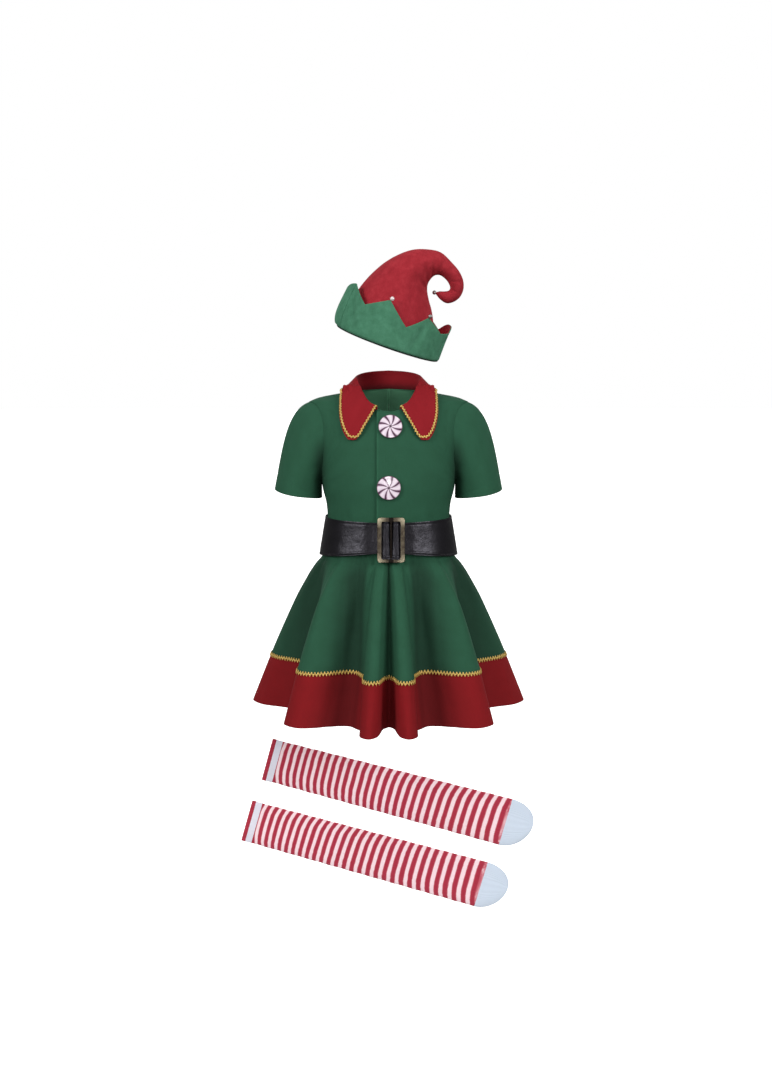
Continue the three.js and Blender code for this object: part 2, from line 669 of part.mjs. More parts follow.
addMesh(costume, 'collar_trim', collarBraid(), gold);

// Buttons on the upper front

for (const place of buttonPlaces) {
  const seat = vec(place.x, depthAt(place.x, place.z, -1), place.z);
  const normal = torsoNormal(seat);
  const { radius, thick, edge } = button;
  const profile = [
    new THREE.Vector2(0, 0),
    new THREE.Vector2(radius - edge, 0),
    new THREE.Vector2(radius, edge),
    new THREE.Vector2(radius, thick - edge * 1.4),
    new THREE.Vector2(radius - edge, thick - edge * 0.6),
    new THREE.Vector2(radius * 0.6, thick),
    new THREE.Vector2(0, thick + 0.3),
  ];
  const mesh = addMesh(costume, place.name, new THREE.LatheGeometry(profile, 24), buttonPink);
  mesh.quaternion.setFromUnitVectors(vec(0, 1, 0), normal);
  mesh.position.copy(seat).addScaledVector(normal, placketLift + seamGap + 0.2);
}

// Belt: a wide strap that bulges in the two windows of its buckle

function beltRoll(x) {
  const fromCentre = Math.abs(x - buckle.x);
  const rollMiddle = buckle.centreBar / 2 + 0.5 + buckle.rollHalf;
  const t = Math.abs(fromCentre - rollMiddle) / buckle.rollHalf;
  return t < 1 ? buckle.rollRise * Math.sqrt(1 - t * t) : 0;
}

function beltPoint(azimuth, share) {
  const sideways = Math.abs(Math.sin(radians(azimuth))) ** 1.5;
  const top = mix(belt.frontTop, belt.sideTop, sideways);
  const bottom = mix(belt.frontBottom, belt.sideBottom, sideways);
  const z = mix(top, bottom, share);
  const distance = waistDistance(azimuth, belt.sideTop) + belt.clear + belt.wall
    + mix(belt.frontSlope, belt.sideSlope, sideways) * (belt.sideTop - z);
  const a = radians(azimuth);
  const p = vec(distance * Math.sin(a), -distance * Math.cos(a), z);
  const overPlacket = belt.frontLift * (1 - THREE.MathUtils.smoothstep(Math.abs(p.x), 34, 66));
  if (p.y < 0) p.y -= beltRoll(p.x) + overPlacket;
  return p;
}

function beltAzimuths() {
  const rollMiddle = buckle.centreBar / 2 + 0.5 + buckle.rollHalf;
  const shares = [-1, -0.85, -0.5, 0, 0.5, 0.85, 1];
  const right = [0, ...shares.map((s) => rollMiddle + s * buckle.rollHalf), 22];
  const places = [...right.slice(1).reverse().map((x) => -x), ...right].map((x) => x + buckle.x);
  const front = places.map((x) => {
    const a = Math.atan2(x, -depthAt(x, belt.frontTop, -1) + belt.clear + belt.wall);
    return (a * 180) / Math.PI;
  });
  const from = front[front.length - 1];
  const to = front[0] + 360;
  const rest = Array.from({ length: belt.columns }, (_, k) => mix(from, to, (k + 1) / (belt.columns + 1)));
  return [...front, ...rest];
}

const beltOuter = [0, 0.33, 0.67, 1].map((share) => beltAzimuths().map((a) => beltPoint(a, share)));
addMesh(costume, 'belt', wallGeometry(beltOuter, moved(beltOuter, -belt.wall, true), true), blackLeather);

function roundedRectangle(path, halfWidth, halfHeight, radius, centreX = 0) {
  const corner = [[1, 1, 0], [-1, 1, 90], [-1, -1, 180], [1, -1, 270]];
  corner.forEach(([sx, sy, from], k) => {
    const x = centreX + sx * (halfWidth - radius);
    const y = sy * (halfHeight - radius);
    if (k === 0) path.moveTo(centreX + halfWidth, y);
    path.absarc(x, y, radius, radians(from), radians(from + 90), false);
  });
  path.closePath();
  return path;
}

function buckleGeometry() {
  const { width, height, bar, centreBar, thick, corner } = buckle;
  const bevel = 0.8;
  const frame = roundedRectangle(new THREE.Shape(), width / 2 - bevel, height / 2 - bevel, corner);
  const windowWidth = (width - 2 * bar - centreBar) / 2;
  for (const side of [-1, 1]) {
    const centre = side * (centreBar / 2 + windowWidth / 2);
    const holeHeight = height / 2 - bar + bevel;
    const hole = roundedRectangle(new THREE.Path(), windowWidth / 2 + bevel, holeHeight, 1.8, centre);
    frame.holes.push(hole);
  }
  const options = {
    depth: thick - 2 * bevel, bevelThickness: bevel, bevelSize: bevel, bevelSegments: 1, curveSegments: 3,
  };
  const geometry = new THREE.ExtrudeGeometry(frame, options);
  geometry.translate(0, 0, bevel);
  return geometry;
}

const buckleMesh = addMesh(costume, 'buckle', buckleGeometry(), antiqueMetal);
buckleMesh.rotation.x = Math.PI / 2 - Math.atan(belt.frontSlope);
const beltBehind = beltPoint((Math.atan2(buckle.x, -depthAt(0, belt.frontTop, -1)) * 180) / Math.PI, 0.5);
const lowerBy = beltBehind.z - buckle.z;
buckleMesh.position.set(buckle.x, beltBehind.y - buckle.clear - lowerBy * belt.frontSlope, buckle.z);

// Hat

const hatGroup = new THREE.Group();
hatGroup.position.set(hat.x, 0, hat.z);
hatGroup.rotation.set(radians(hat.pitch), radians(hat.tilt), 0, 'YXZ');
costume.add(hatGroup);

function crownGrid(facing) {
  return crownRungs.map((rung) => {
    const row = [];
    for (let j = 0; j < crownColumns; j += 1) {
      const turn = (Math.PI * j) / (crownColumns - 1);
      const share = (1 - Math.cos(turn)) / 2;
      const y = facing * rung.depth * Math.sin(turn);
      row.push(vec(mix(rung.outX, rung.inX, share), y, mix(rung.outZ, rung.inZ, share)));
    }
    return row;
  });
}

for (const [label, facing] of [['front', -1], ['back', 1]]) {
  const outer = crownGrid(facing);
  const sign = -outwardSign(outer);
  const walls = crownRungs.map((rung) => sign * Math.min(hat.wall, rung.depth * 0.4));
  const inner = moved(outer, walls).map((row) => row.map((p, j) => {
    const edge = j === 0 || j === crownColumns - 1;
    return edge ? vec(p.x, 0, p.z) : p;
  }));
  const apart = vec(0, (facing * seamGap) / 2, 0);
  addMesh(hatGroup, `hat_crown_${label}`, wallGeometry(shifted(outer, apart), shifted(inner, apart)), hatRed);
}

function brimTop(azimuth) {
  const last = brimTeeth[brimTeeth.length - 1];
  const first = brimTeeth[0];
  const ends = [
    { ...last, azimuth: last.azimuth - 360 }, ...brimTeeth, { ...first, azimuth: first.azimuth + 360 },
  ];
  let i = 0;
  while (i < ends.length - 2 && ends[i + 1].azimuth < azimuth) i += 1;
  const share = (azimuth - ends[i].azimuth) / (ends[i + 1].azimuth - ends[i].azimuth);
  const blend = (column) => mix(ends[i][column], ends[i + 1][column], share);
  return { height: blend('height'), lean: blend('lean'), curl: blend('curl') };
}

function brimPoint(azimuth, share) {
  const top = brimTop(azimuth);
  const a = radians(azimuth);
  const curled = top.curl * share ** 4;
  const swell = brimBulge * Math.max(-Math.sin(a), 0) ** 8 * Math.sin(Math.PI * share ** 0.7);
  const out = top.lean * share * share + curled + swell;
  const x = (brimBase.half + out) * Math.sin(a);
  const y = -(brimBase.depth + out) * Math.cos(a);
  return vec(x, y, top.height * share - curled * 0.25);
}

const brimAzimuths = brimTeeth.flatMap((tooth, k) => {
  const next = k + 1 < brimTeeth.length ? brimTeeth[k + 1].azimuth : brimTeeth[0].azimuth + 360;
  return [tooth.azimuth, (tooth.azimuth + next) / 2];
});
const brimOuter = [0, 0.3, 0.6, 0.84, 1].map((share) => brimAzimuths.map((a) => brimPoint(a, share)));
const brimInner = moved(brimOuter, hat.wall, true);
addMesh(hatGroup, 'hat_brim', wallGeometry(brimOuter, brimInner, true), brimGreen);

function bellGeometry() {
  return new THREE.SphereGeometry(bellRadius, 12, 8);
}

[brimTeeth[2], brimTeeth[4]].forEach((tooth, k) => {
  const bell = addMesh(hatGroup, `hat_bell_${k + 1}`, bellGeometry(), silver);
  const tip = brimPoint(tooth.azimuth, 1);
  bell.position.copy(tip).add(vec(bellAside, 0, bellRadius + seamGap));
});
const tipRung = crownRungs[crownRungs.length - 1];
const tipBell = addMesh(hatGroup, 'hat_bell_tip', bellGeometry(), silver);
const tipMiddle = vec((tipRung.outX + tipRung.inX) / 2, 0, (tipRung.outZ + tipRung.inZ) / 2);
tipBell.position.copy(tipMiddle).add(vec(-(bellRadius + 0.5), 0, 0.6));

// Stockings, each flat with its two layers pressed together

function stockingGeometry(stocking) {
  const legShares = [0, 0.12, 0.3, 0.5, 0.7, 0.88, 1];
  const toeShares = [0.25, 0.5, 0.7, 0.84, 0.94, 0.99];
  const stations = legShares.map((s) => ({
    along: s * stocking.leg, half: mix(stocking.cuffHalf, stocking.toeHalf, s),
    thick: stockingThick / 2, shift: 0,
  }));
  for (const s of toeShares) {
    const round = Math.sqrt(1 - s * s);
    stations.push({
      along: stocking.leg + s * toeLength, half: stocking.toeHalf * round,
      thick: Math.max(stockingThick / 2 * Math.sqrt(round), 0.8),
      shift: toeShift * s * s,
    });
  }
  const section = [];
  const sides = 12;
  for (let k = 0; k < sides; k += 1) {
    const a = (2 * Math.PI * k) / sides;
    const c = Math.cos(a);
    const s = Math.sin(a);
    section.push([Math.sign(c) * Math.abs(c) ** 0.5, Math.sign(s) * Math.abs(s) ** 0.8]);
  }
  const slope = radians(stocking.slope);
  const positions = [];
  for (const station of stations) {
    for (const [across, up] of section) {
      const w = across * station.half + station.shift;
      positions.push(
        stocking.x + station.along * Math.cos(slope) - w * Math.sin(slope),
        up * station.thick,
        stocking.z + station.along * Math.sin(slope) + w * Math.cos(slope),
      );
    }
  }
  const index = [];
  for (let i = 0; i < stations.length - 1; i += 1) {
    for (let k = 0; k < sides; k += 1) {
      const a = i * sides + k;
      const b = i * sides + ((k + 1) % sides);
      index.push(a, b, b + sides, a, b + sides, a + sides);
    }
  }
  const lastRing = (stations.length - 1) * sides;
  for (let k = 1; k < sides - 1; k += 1) {
    index.push(0, k + 1, k);
    index.push(lastRing, lastRing + k, lastRing + k + 1);
  }
  return facingOut(positions, index);
}

for (const stocking of stockings) {
  addMesh(costume, stocking.name, stockingGeometry(stocking), stockingKnit);
}

export default costume;
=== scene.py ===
# Elf costume: a pointed hat, a belted dress and a pair of striped stockings.
# Sizes are in millimetres where they are named, and in metres in the meshes.

import math

import bmesh
import bpy
from mathutils import Matrix, Vector


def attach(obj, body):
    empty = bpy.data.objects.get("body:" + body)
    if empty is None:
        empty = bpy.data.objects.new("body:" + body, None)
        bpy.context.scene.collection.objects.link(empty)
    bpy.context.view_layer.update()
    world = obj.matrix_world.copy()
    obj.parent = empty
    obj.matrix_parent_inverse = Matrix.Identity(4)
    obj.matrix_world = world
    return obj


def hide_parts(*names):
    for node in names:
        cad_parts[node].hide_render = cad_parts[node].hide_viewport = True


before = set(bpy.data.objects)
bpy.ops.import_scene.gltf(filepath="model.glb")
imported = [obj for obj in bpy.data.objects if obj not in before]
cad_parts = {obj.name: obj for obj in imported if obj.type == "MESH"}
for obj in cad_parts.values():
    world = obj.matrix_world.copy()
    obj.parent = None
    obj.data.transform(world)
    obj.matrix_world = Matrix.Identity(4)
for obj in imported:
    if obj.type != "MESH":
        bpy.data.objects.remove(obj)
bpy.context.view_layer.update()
mm = 0.001

# Studio: a white floor of lit acrylic below the costume, which hangs as on a hidden wearer, soft
# lamps beside the camera, above and behind, and the camera a little above the neck, looking down
# by 7.7 degrees.


def linear(hex_colour):
    """sRGB hex to the linear RGBA that the shaders take."""
    parts = [int(hex_colour[i : i + 2], 16) / 255 for i in (1, 3, 5)]
    curve = [p / 12.92 if p <= 0.04045 else ((p + 0.055) / 1.055) ** 2.4 for p in parts]
    return (*curve, 1.0)


def set_inputs(tree, node, inputs):
    """Links each input that is given a socket, and sets the others to their values."""
    for name, value in inputs.items():
        if isinstance(value, bpy.types.NodeSocket):
            tree.links.new(value, node.inputs[name])
        else:
            node.inputs[name].default_value = value


def add_node(tree, kind, inputs=None, **settings):
    """A shader node with its settings, and its inputs set or linked."""
    made = tree.nodes.new("ShaderNode" + kind)
    for name, value in settings.items():
        setattr(made, name, value)
    set_inputs(tree, made, inputs or {})
    return made


def new_material(name):
    """A new material with its nodes and its shader."""
    material = bpy.data.materials.new(name)
    material.use_nodes = True
    return material, material.node_tree, material.node_tree.nodes["Principled BSDF"]


def in_scene(name, data):
    """An object for a camera, a lamp or a mesh, linked to the scene."""
    made = bpy.data.objects.new(name, data)
    bpy.context.scene.collection.objects.link(made)
    return made


def link_mesh(name, bm):
    """An object with the shape of a bmesh, which isn't needed after that."""
    mesh = bpy.data.meshes.new(name)
    bm.to_mesh(mesh)
    bm.free()
    return in_scene(name, mesh)


camera_aim = Vector((-4.25, 0, -251.3)) * mm
camera_data = bpy.data.cameras.new("camera")
camera_data.sensor_width = 36
camera_data.lens = 39.216
camera = in_scene("camera", camera_data)
camera.location = Vector((-4.25, -1981.97, 16.67)) * mm
camera.rotation_euler = (camera_aim - camera.location).to_track_quat("-Z", "Y").to_euler()
bpy.context.scene.camera = camera

floor_height = -1000 * mm
floor_half = 40000 * mm
floor_bm = bmesh.new()
bmesh.ops.create_grid(floor_bm, x_segments=1, y_segments=1, size=floor_half)
bmesh.ops.translate(floor_bm, verts=floor_bm.verts, vec=(0, 0, floor_height))
floor = link_mesh("floor", floor_bm)
# Matt white acrylic sheet, lit a little from below so that it is as white as the sky
acrylic, acrylic_tree, acrylic_shader = new_material("matt white acrylic")
acrylic_finish = {
    "Base Color": linear("#F7F7F5"),
    "Roughness": 0.9,
    "Specular IOR Level": 0.1,
    "Emission Color": linear("#FFFFFF"),
    "Emission Strength": 0.8,
}
set_inputs(acrylic_tree, acrylic_shader, acrylic_finish)
floor.data.materials.append(acrylic)
# The sheet stands far enough below not to light the costume from underneath
floor.visible_diffuse = False
floor.visible_glossy = False

background_strength = 1.0
front_ambient = 0.2
back_ambient = 0.12
front_from, back_full = -0.2, 0.5
world = bpy.data.worlds.new("studio")
world.use_nodes = True
bpy.context.scene.world = world
sky_tree = world.node_tree
sky = sky_tree.nodes["Background"]
sky.inputs["Color"].default_value = linear("#FFFFFF")
sky_place = add_node(sky_tree, "TexCoord")
sky_split = add_node(sky_tree, "SeparateXYZ", {"Vector": sky_place.outputs["Generated"]})
ambient_range = {
    "Value": sky_split.outputs["Y"],
    "From Min": front_from,
    "From Max": back_full,
    "To Min": front_ambient,
    "To Max": back_ambient,
}
ambient = add_node(sky_tree, "MapRange", ambient_range)
rays = add_node(sky_tree, "LightPath")
sky_strength = add_node(
    sky_tree,
    "Mix",
    {"Factor": rays.outputs["Is Camera Ray"], "A": ambient.outputs["Result"], "B": background_strength},
)
sky_tree.links.new(sky_strength.outputs["Result"], sky.inputs["Strength"])
for name, from_place, strength, softness in (
    ("left key", (-1.1, -0.9, 0.55), 1.6, 24),
    ("right key", (1.1, -0.9, 0.55), 1.6, 24),
    ("front", (0, -1.8, 0.35), 0.45, 12),
    ("top", (0, -0.7, 1.8), 0.5, 50),
    ("back left", (-0.8, 1.5, 0.9), 0.6, 40),
    ("back right", (0.9, 1.4, 0.9), 0.6, 40),
):
    light = bpy.data.lights.new(name, "SUN")
    light.energy = strength
    light.angle = math.radians(softness)
    lamp = in_scene(name, light)
    lamp.rotation_euler = Vector(from_place).to_track_quat("Z", "Y").to_euler()
bpy.context.scene.view_settings.view_transform = "Standard"

# Bodice: two fronts and two backs of a brushed polyester knit, cut to fill out over the chest,
# with a middle seam behind. The wearer's left front lies over the right one and carries the buttons.

cloth_wall = 1.6
seam_gap = 0.3


def table(columns, *rows):
    """Rows with named columns."""
    return [dict(zip(columns.split(), row)) for row in rows]


torso_rings = table(
    "z half front back power",
    (8, 40, 6, 49, 2.0),
    (2, 53, 18, 53, 1.9),
    (-3, 77, 27, 56, 1.6),
    (-11, 116, 39, 61, 1.5),
    (-18, 133.3, 47, 65, 1.6),
    (-35, 131, 60.5, 70, 1.9),
    (-60, 125.5, 70, 77, 2.2),
    (-100, 118.5, 81, 83, 2.4),
    (-160, 111, 88, 84, 2.4),
    (-191, 104.2, 86.5, 80, 2.4),
    (-211, 103, 86, 79, 2.3),
    (-260, 110, 90.5, 84, 2.3),
)
side_heights = [-245, -222, -203, -186, -168, -150, -142, -128, -110, -91, -71, -52, -35, -23, -17.5]
middle_heights = [-245, -222, -198, -172, -146, -120, -95, -72, -50]
underarm_row = 5
neck_half_width = 53
front_neck_drop = 36.5
back_neck_rise = 2.3
neck_shoulder_height = 2
underarm_height = -150
shoulder_tip_height = -17.5
armhole_half_depth = 43
placket_half_width = 19
placket_lift = cloth_wall + 1
placket_ease = 3
placket_blend = 50
bodice_cut = (138, 245)
bodice_steps = (56, 84)
# Painted shade under the arm: where it lies and how strong it is
underarm_shade = {"x": 113, "wide": 10, "from_z": -62, "full_z": -112, "pressed": 0.95}
fold_edge = {"rise": 0.9, "wide": 1.6}
painted_edge_reach = 1.5
crease_run = {"from": 0.08, "share": 0.84, "fade": 0.7}
turned_edge = {"share_of_wall": 0.3, "angle": 60}
doubles_apart = 0.02


def mix(a, b, share):
    return a + (b - a) * share


def clamp(value, low, high):
    return max(low, min(high, value))


def smooth(value, low, high):
    """0 below low, 1 above high, and an eased rise between."""
    t = clamp((value - low) / (high - low), 0, 1)
    return t * t * (3 - 2 * t)


def read(rows, key, at, columns=None):
    """A table's columns read between its rows, on smooth curves that don't overshoot."""
    rising = 1 if rows[1][key] > rows[0][key] else -1
    i = 0
    while i < len(rows) - 2 and (rows[i + 1][key] - at) * rising < 0:
        i += 1
    width = rows[i + 1][key] - rows[i][key]
    t = clamp((at - rows[i][key]) / width, 0, 1)
    ease = t * t * (3 - 2 * t)
    found = {}
    for column in columns or rows[0]:

        def rate(k):
            return (rows[k + 1][column] - rows[k][column]) / (rows[k + 1][key] - rows[k][key])

        def tangent(k):
            if k == 0:
                return rate(0)
            if k == len(rows) - 1:
                return rate(k - 1)
            before, after = rate(k - 1), rate(k)
            return 0 if before * after <= 0 else 2 * before * after / (before + after)

        a, b = rows[i][column], rows[i + 1][column]
        lean = t * (1 - t) ** 2 * tangent(i) - t * t * (1 - t) * tangent(i + 1)
        found[column] = a + (b - a) * ease + width * lean
    return found


def between(values, at):
    """A list read at a place between its items."""
    i = int(clamp(math.floor(at), 0, len(values) - 2))
    return mix(values[i], values[i + 1], at - i)


def torso_reach(z, facing):
    ring = read(torso_rings, "z", z)
    return ring["half"], ring["front"] if facing < 0 else ring["back"], ring["power"]


def depth_at(x, z, facing):
    half, reach, power = torso_reach(z, facing)
    return facing * reach * (1 - min(abs(x) / half, 1) ** power) ** (1 / power)


def half_width_at(y, z, facing):
    half, reach, power = torso_reach(z, facing)
    return half * (1 - min(abs(y) / reach, 1) ** power) ** (1 / power)


def neck_point(azimuth, facing):
    """The neck seam: 0 degrees is its middle and 90 the neck-shoulder point."""
    a = math.radians(azimuth)
    x = neck_half_width * math.sin(a)
    if facing < 0:
        z = neck_shoulder_height - front_neck_drop * max(math.cos(a), 0) ** 1.5
    else:
        z = neck_shoulder_height + back_neck_rise * (1 - abs(math.sin(a)))
    return Vector((x, depth_at(x, z, facing), z))


shoulder_ridge = [{"x": ring["half"], "z": ring["z"]} for ring in torso_rings[:5]]


def shoulder_line(x):
    return read(shoulder_ridge, "x", abs(x))["z"]


def armhole_point(z, facing):
    middle = (underarm_height + shoulder_tip_height) / 2
    tall = (shoulder_tip_height - underarm_height) / 2
    y = facing * armhole_half_depth * math.sqrt(max(0, 1 - ((z - middle) / tall) ** 2))
    return Vector((half_width_at(y, z, facing), y, z))


def panel_point(facing, middle_x, u, v):
    """A front or back panel: u runs from its middle edge to its side, v from waist to shoulder."""
    rows = len(side_heights) - 1
    row = v * rows
    z_side = between(side_heights, row)
    side = armhole_point(z_side, facing)
    if row <= underarm_row:
        side = Vector((half_width_at(0, z_side, facing), 0, z_side))
    neck_row = len(middle_heights)
    neck_from = math.degrees(math.asin(middle_x / neck_half_width))
    if row >= neck_row:
        start = neck_point(mix(neck_from, 90, (row - neck_row) / (rows - neck_row)), facing)
    else:
        heights = [*middle_heights, neck_point(neck_from, facing).z]
        start = Vector((middle_x, 0, between(heights, row)))
    lift = smooth(row, underarm_row, rows)
    start_drop = shoulder_line(start.x) - start.z
    side_drop = shoulder_line(side.x) - side.z
    share = mix(math.sin(u * math.pi / 2), u, lift)
    x = mix(start.x, side.x, share)
    sloped = shoulder_line(x) - mix(start_drop, side_drop, share)
    z = mix(mix(start.z, side.z, share), sloped, lift)
    if u > 0.9999:
        return side
    return Vector((x, depth_at(x, z, facing), z))


def placket_rise(x):
    return placket_lift * (1 - smooth(x, placket_half_width + placket_ease, placket_blend))


def crease_depth(creases, s, t):
    """Depth of listed soft troughs at a place on the flat cloth; a ridge has a negative depth."""
    depth = 0
    for c in creases:
        run = Vector((c["s2"] - c["s1"], c["t2"] - c["t1"]))
        along = clamp(Vector((s - c["s1"], t - c["t1"])).dot(run) / run.length_squared, 0, 1)
        apart = math.hypot(s - c["s1"] - run.x * along, t - c["t1"] - run.y * along)
        on_run = clamp(along * crease_run["share"] + crease_run["from"], 0, 1)
        fade = math.sin(math.pi * on_run) ** crease_run["fade"]
        depth += c["depth"] * fade * math.exp(-((apart / c["wide"]) ** 2))
    return depth


def cloth_piece(name, steps, cut, place, wall=cloth_wall, centre=(0, 0, 0), wraps=False, rise=None):
    """A sheet of cloth on its solid's form. place gives a point in millimetres for a place on the
    flat cut, rise lifts it square to the cloth, and the wall is added on the side of the centre."""
    width, length = cut
    bm = bmesh.new()
    bmesh.ops.create_grid(bm, x_segments=steps[0], y_segments=steps[1], size=0.5)
    flat_places = {v: (v.co.x + 0.5, v.co.y + 0.5) for v in bm.verts}
    on_cut = bm.loops.layers.uv.new("cut")
    for face in bm.faces:
        face.smooth = True
        for loop in face.loops:
            u, v = flat_places[loop.vert]
            loop[on_cut].uv = (u * width * mm, v * length * mm)
    for vert, (u, v) in flat_places.items():
        vert.co = place(u, v) * mm
    middle = Vector(centre) * mm
    bm.normal_update()
    outwards = sum(f.normal.dot(f.calc_center_median() - middle) * f.calc_area() for f in bm.faces)
    if outwards < 0:
        bmesh.ops.reverse_faces(bm, faces=bm.faces)
        bm.normal_update()
    if rise:
        normals = {v: v.normal.copy() for v in bm.verts}
        for vert, (u, v) in flat_places.items():
            vert.co += normals[vert] * rise(u * width, v * length, vert.co / mm) * mm
    if wraps:
        bmesh.ops.remove_doubles(bm, verts=bm.verts, dist=doubles_apart * mm)
    piece = link_mesh(name, bm)
    thickness = piece.modifiers.new("wall", "SOLIDIFY")
    thickness.thickness = wall * mm
    thickness.offset = -1
    edge = piece.modifiers.new("turned edge", "BEVEL")
    edge.width = wall * turned_edge["share_of_wall"] * mm
    edge.segments = 2
    edge.limit_method = "ANGLE"
    edge.angle_limit = math.radians(turned_edge["angle"])
    return piece


# Share of the colour taken away as painted shade where the pressed attribute is 1
painted_shade_dimming = 0.56


def brushed_knit(name, colour, nap_colour, sheen):
    """Brushed polyester knit: dull, with a short nap that lightens it at the turning edges."""
    material, tree, shader = new_material(name)
    on_cut = add_node(tree, "UVMap", uv_map="cut").outputs["UV"]
    # Nap lies in cloudy patches about 25 mm across
    patchy = {"Vector": on_cut, "Scale": 1 / 0.025, "Detail": 3.0, "Roughness": 0.6}
    patches = add_node(tree, "TexNoise", patchy)
    tones = {"Factor": patches.outputs["Fac"], "A": linear(colour), "B": linear(nap_colour)}
    napped = add_node(tree, "Mix", tones, data_type="RGBA")
    # Painted shade: the colour is darkened by the pressed attribute in folds and hollows, and lightened as
    # a painted highlight where that attribute is below 0
    pressed = add_node(tree, "Attribute", attribute_name="pressed")
    less = {0: pressed.outputs["Fac"], 1: -painted_shade_dimming, 2: 1.0}
    painted_shade_scale = add_node(tree, "Math", less, operation="MULTIPLY_ADD")
    painted_shade_inputs = {0: napped.outputs["Result"], "Scale": painted_shade_scale.outputs[0]}
    colours = add_node(tree, "VectorMath", painted_shade_inputs, operation="SCALE")
    # Knit wales 0.9 mm apart, drawn at 1.8 mm so that they show, under a 1.4 mm fuzz
    ribbed = {"Vector": on_cut, "Scale": math.pi / 10 / 0.0018, "Distortion": 1.0}
    wales = add_node(tree, "TexWave", ribbed, bands_direction="X")
    fuzz = add_node(tree, "TexNoise", {"Vector": on_cut, "Scale": 1 / 0.0014, "Detail": 2.0})
    coarse = add_node(tree, "Bump", {"Height": wales.outputs["Fac"], "Strength": 0.12, "Distance": 0.0003})
    raised = {"Height": fuzz.outputs["Fac"], "Strength": 0.25, "Distance": 0.0004}
    fine = add_node(tree, "Bump", {**raised, "Normal": coarse.outputs["Normal"]})
    finish = {
        "Base Color": colours.outputs["Vector"],
        "Normal": fine.outputs["Normal"],
        "Roughness": 0.88,
        "Specular IOR Level": 0.25,
        "Sheen Weight": sheen,
        "Sheen Roughness": 0.45,
        "Sheen Tint": linear(nap_colour),
    }
    set_inputs(tree, shader, finish)
    return material


def make_real(piece, node, slot, *materials):
    """Gives a finished piece its materials and puts it in its node's place."""
    for material in materials:
        piece.data.materials.append(material)
    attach(piece, "root")
    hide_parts(node)


green_knit = brushed_knit("green brushed polyester knit", "#224D37", "#295942", 0.15)
# The reverse side is the same knit painted much lighter, which makes up for the shade inside the neck and
# the back
green_reverse_painted_lighter = brushed_knit("green knit, smooth reverse side, painted lighter", "#568F6D", "#5F9A77", 0.1)

front_creases = table(
    "s1 t1 s2 t2 wide depth",
    (118, 112, 84, 168, 9, 1.6),
    (124, 96, 96, 120, 7, 1.1),
    (108, 70, 70, 96, 8, 0.9),
    (96, 14, 92, 62, 5, 1.0),
    (66, 12, 70, 44, 5, 0.8),
    (112, 168, 100, 214, 10, 1.2),
    (44, 14, 46, 36, 4, 0.5),
)
over_creases = table(
    "s1 t1 s2 t2 wide depth",
    (120, 106, 88, 160, 10, 1.7),
    (122, 90, 92, 106, 6, 0.9),
    (104, 62, 72, 84, 9, 0.8),
    (100, 14, 94, 56, 6, 1.1),
    (74, 12, 72, 38, 4, 0.7),
    (114, 172, 104, 220, 9, 1.0),
    (52, 14, 50, 32, 5, 0.6),
)
back_creases = table(
    "s1 t1 s2 t2 wide depth",
    (116, 104, 76, 150, 10, 1.6),
    (98, 60, 60, 78, 8, 0.9),
    (88, 12, 84, 54, 5, 1.0),
    (52, 12, 54, 40, 5, 0.8),
    (108, 176, 96, 222, 9, 1.2),
)


seam_depth = 0.7
seam_width = 2.2


def seam_roll(distance):
    """Cloth turns in where it is sewn to the next piece."""
    return -seam_depth * math.exp(-((distance / seam_width) ** 2))


def underarm_painted_shade(p, on_cut):
    """Painted shade where the sleeve folds against the body under the arm."""
    low = smooth(-p.z, -underarm_shade["from_z"], -underarm_shade["full_z"])
    return underarm_shade["pressed"] * low * math.exp(-(((abs(p.x) - underarm_shade["x"]) / underarm_shade["wide"]) ** 2))


def store_painted_light(piece, pressed_at):
    """Stores the painted light at each point as the pressed attribute, which its cloth's material reads:
    above 0 it is painted shade, below 0 a painted highlight.
    """
    cut_layer = piece.data.uv_layers["cut"]
    on_cut = {c.vertex_index: cut_layer.uv[c.index].vector / mm for c in piece.data.loops}
    pressed = piece.data.attributes.new("pressed", "FLOAT", "POINT")
    for vert, spot in zip(piece.data.vertices, pressed.data):
        spot.value = pressed_at(vert.co / mm, on_cut[vert.index])


def add_bodice(name, facing, side, middle_x, creases, over, painted_edge_highlight):
    """over says that the front lies on the other one, painted_edge_highlight how much its cut edge is
    painted lighter, a painted highlight.
    """

    def place(u, v):
        p = panel_point(facing, middle_x, u, v)
        p.y += facing * seam_gap / 2
        return Vector((side * p.x, p.y, p.z))

    def rise(s, t, p):
        height = placket_rise(p.x) if over else 0
        roll = 0 if middle_x else seam_roll(s)
        fold = fold_edge["rise"] * math.exp(-((s / fold_edge["wide"]) ** 2)) if over else 0
        return height + roll + fold - crease_depth(creases, s, t)

    def bodice_painted_light(p, on_cut):
        # Painted shade under the arm, less a painted highlight along the cut edge
        return underarm_painted_shade(p, on_cut) - painted_edge_highlight * (on_cut.x < painted_edge_reach)

    piece = cloth_piece(name, bodice_steps, bodice_cut, place, centre=(0, 0, -140), rise=rise)
    piece.modifiers["wall"].material_offset = 1
    store_painted_light(piece, bodice_painted_light)
    make_real(piece, name, "dress_cloth", green_knit, green_reverse_painted_lighter)


add_bodice("bodice_front_right", -1, -1, -placket_half_width, front_creases, False, 0)
add_bodice("bodice_front_left", -1, 1, -placket_half_width, over_creases, True, 0.5)
add_bodice("bodice_back_right", 1, -1, 0, back_creases, False, 0.9)
add_bodice("bodice_back_left", 1, 1, 0, back_creases, False, 0.9)

# Sleeves: short, of the same knit, each one piece set into the armhole with a little fullness over
# the shoulder, seamed under the arm and hemmed at the cuff.

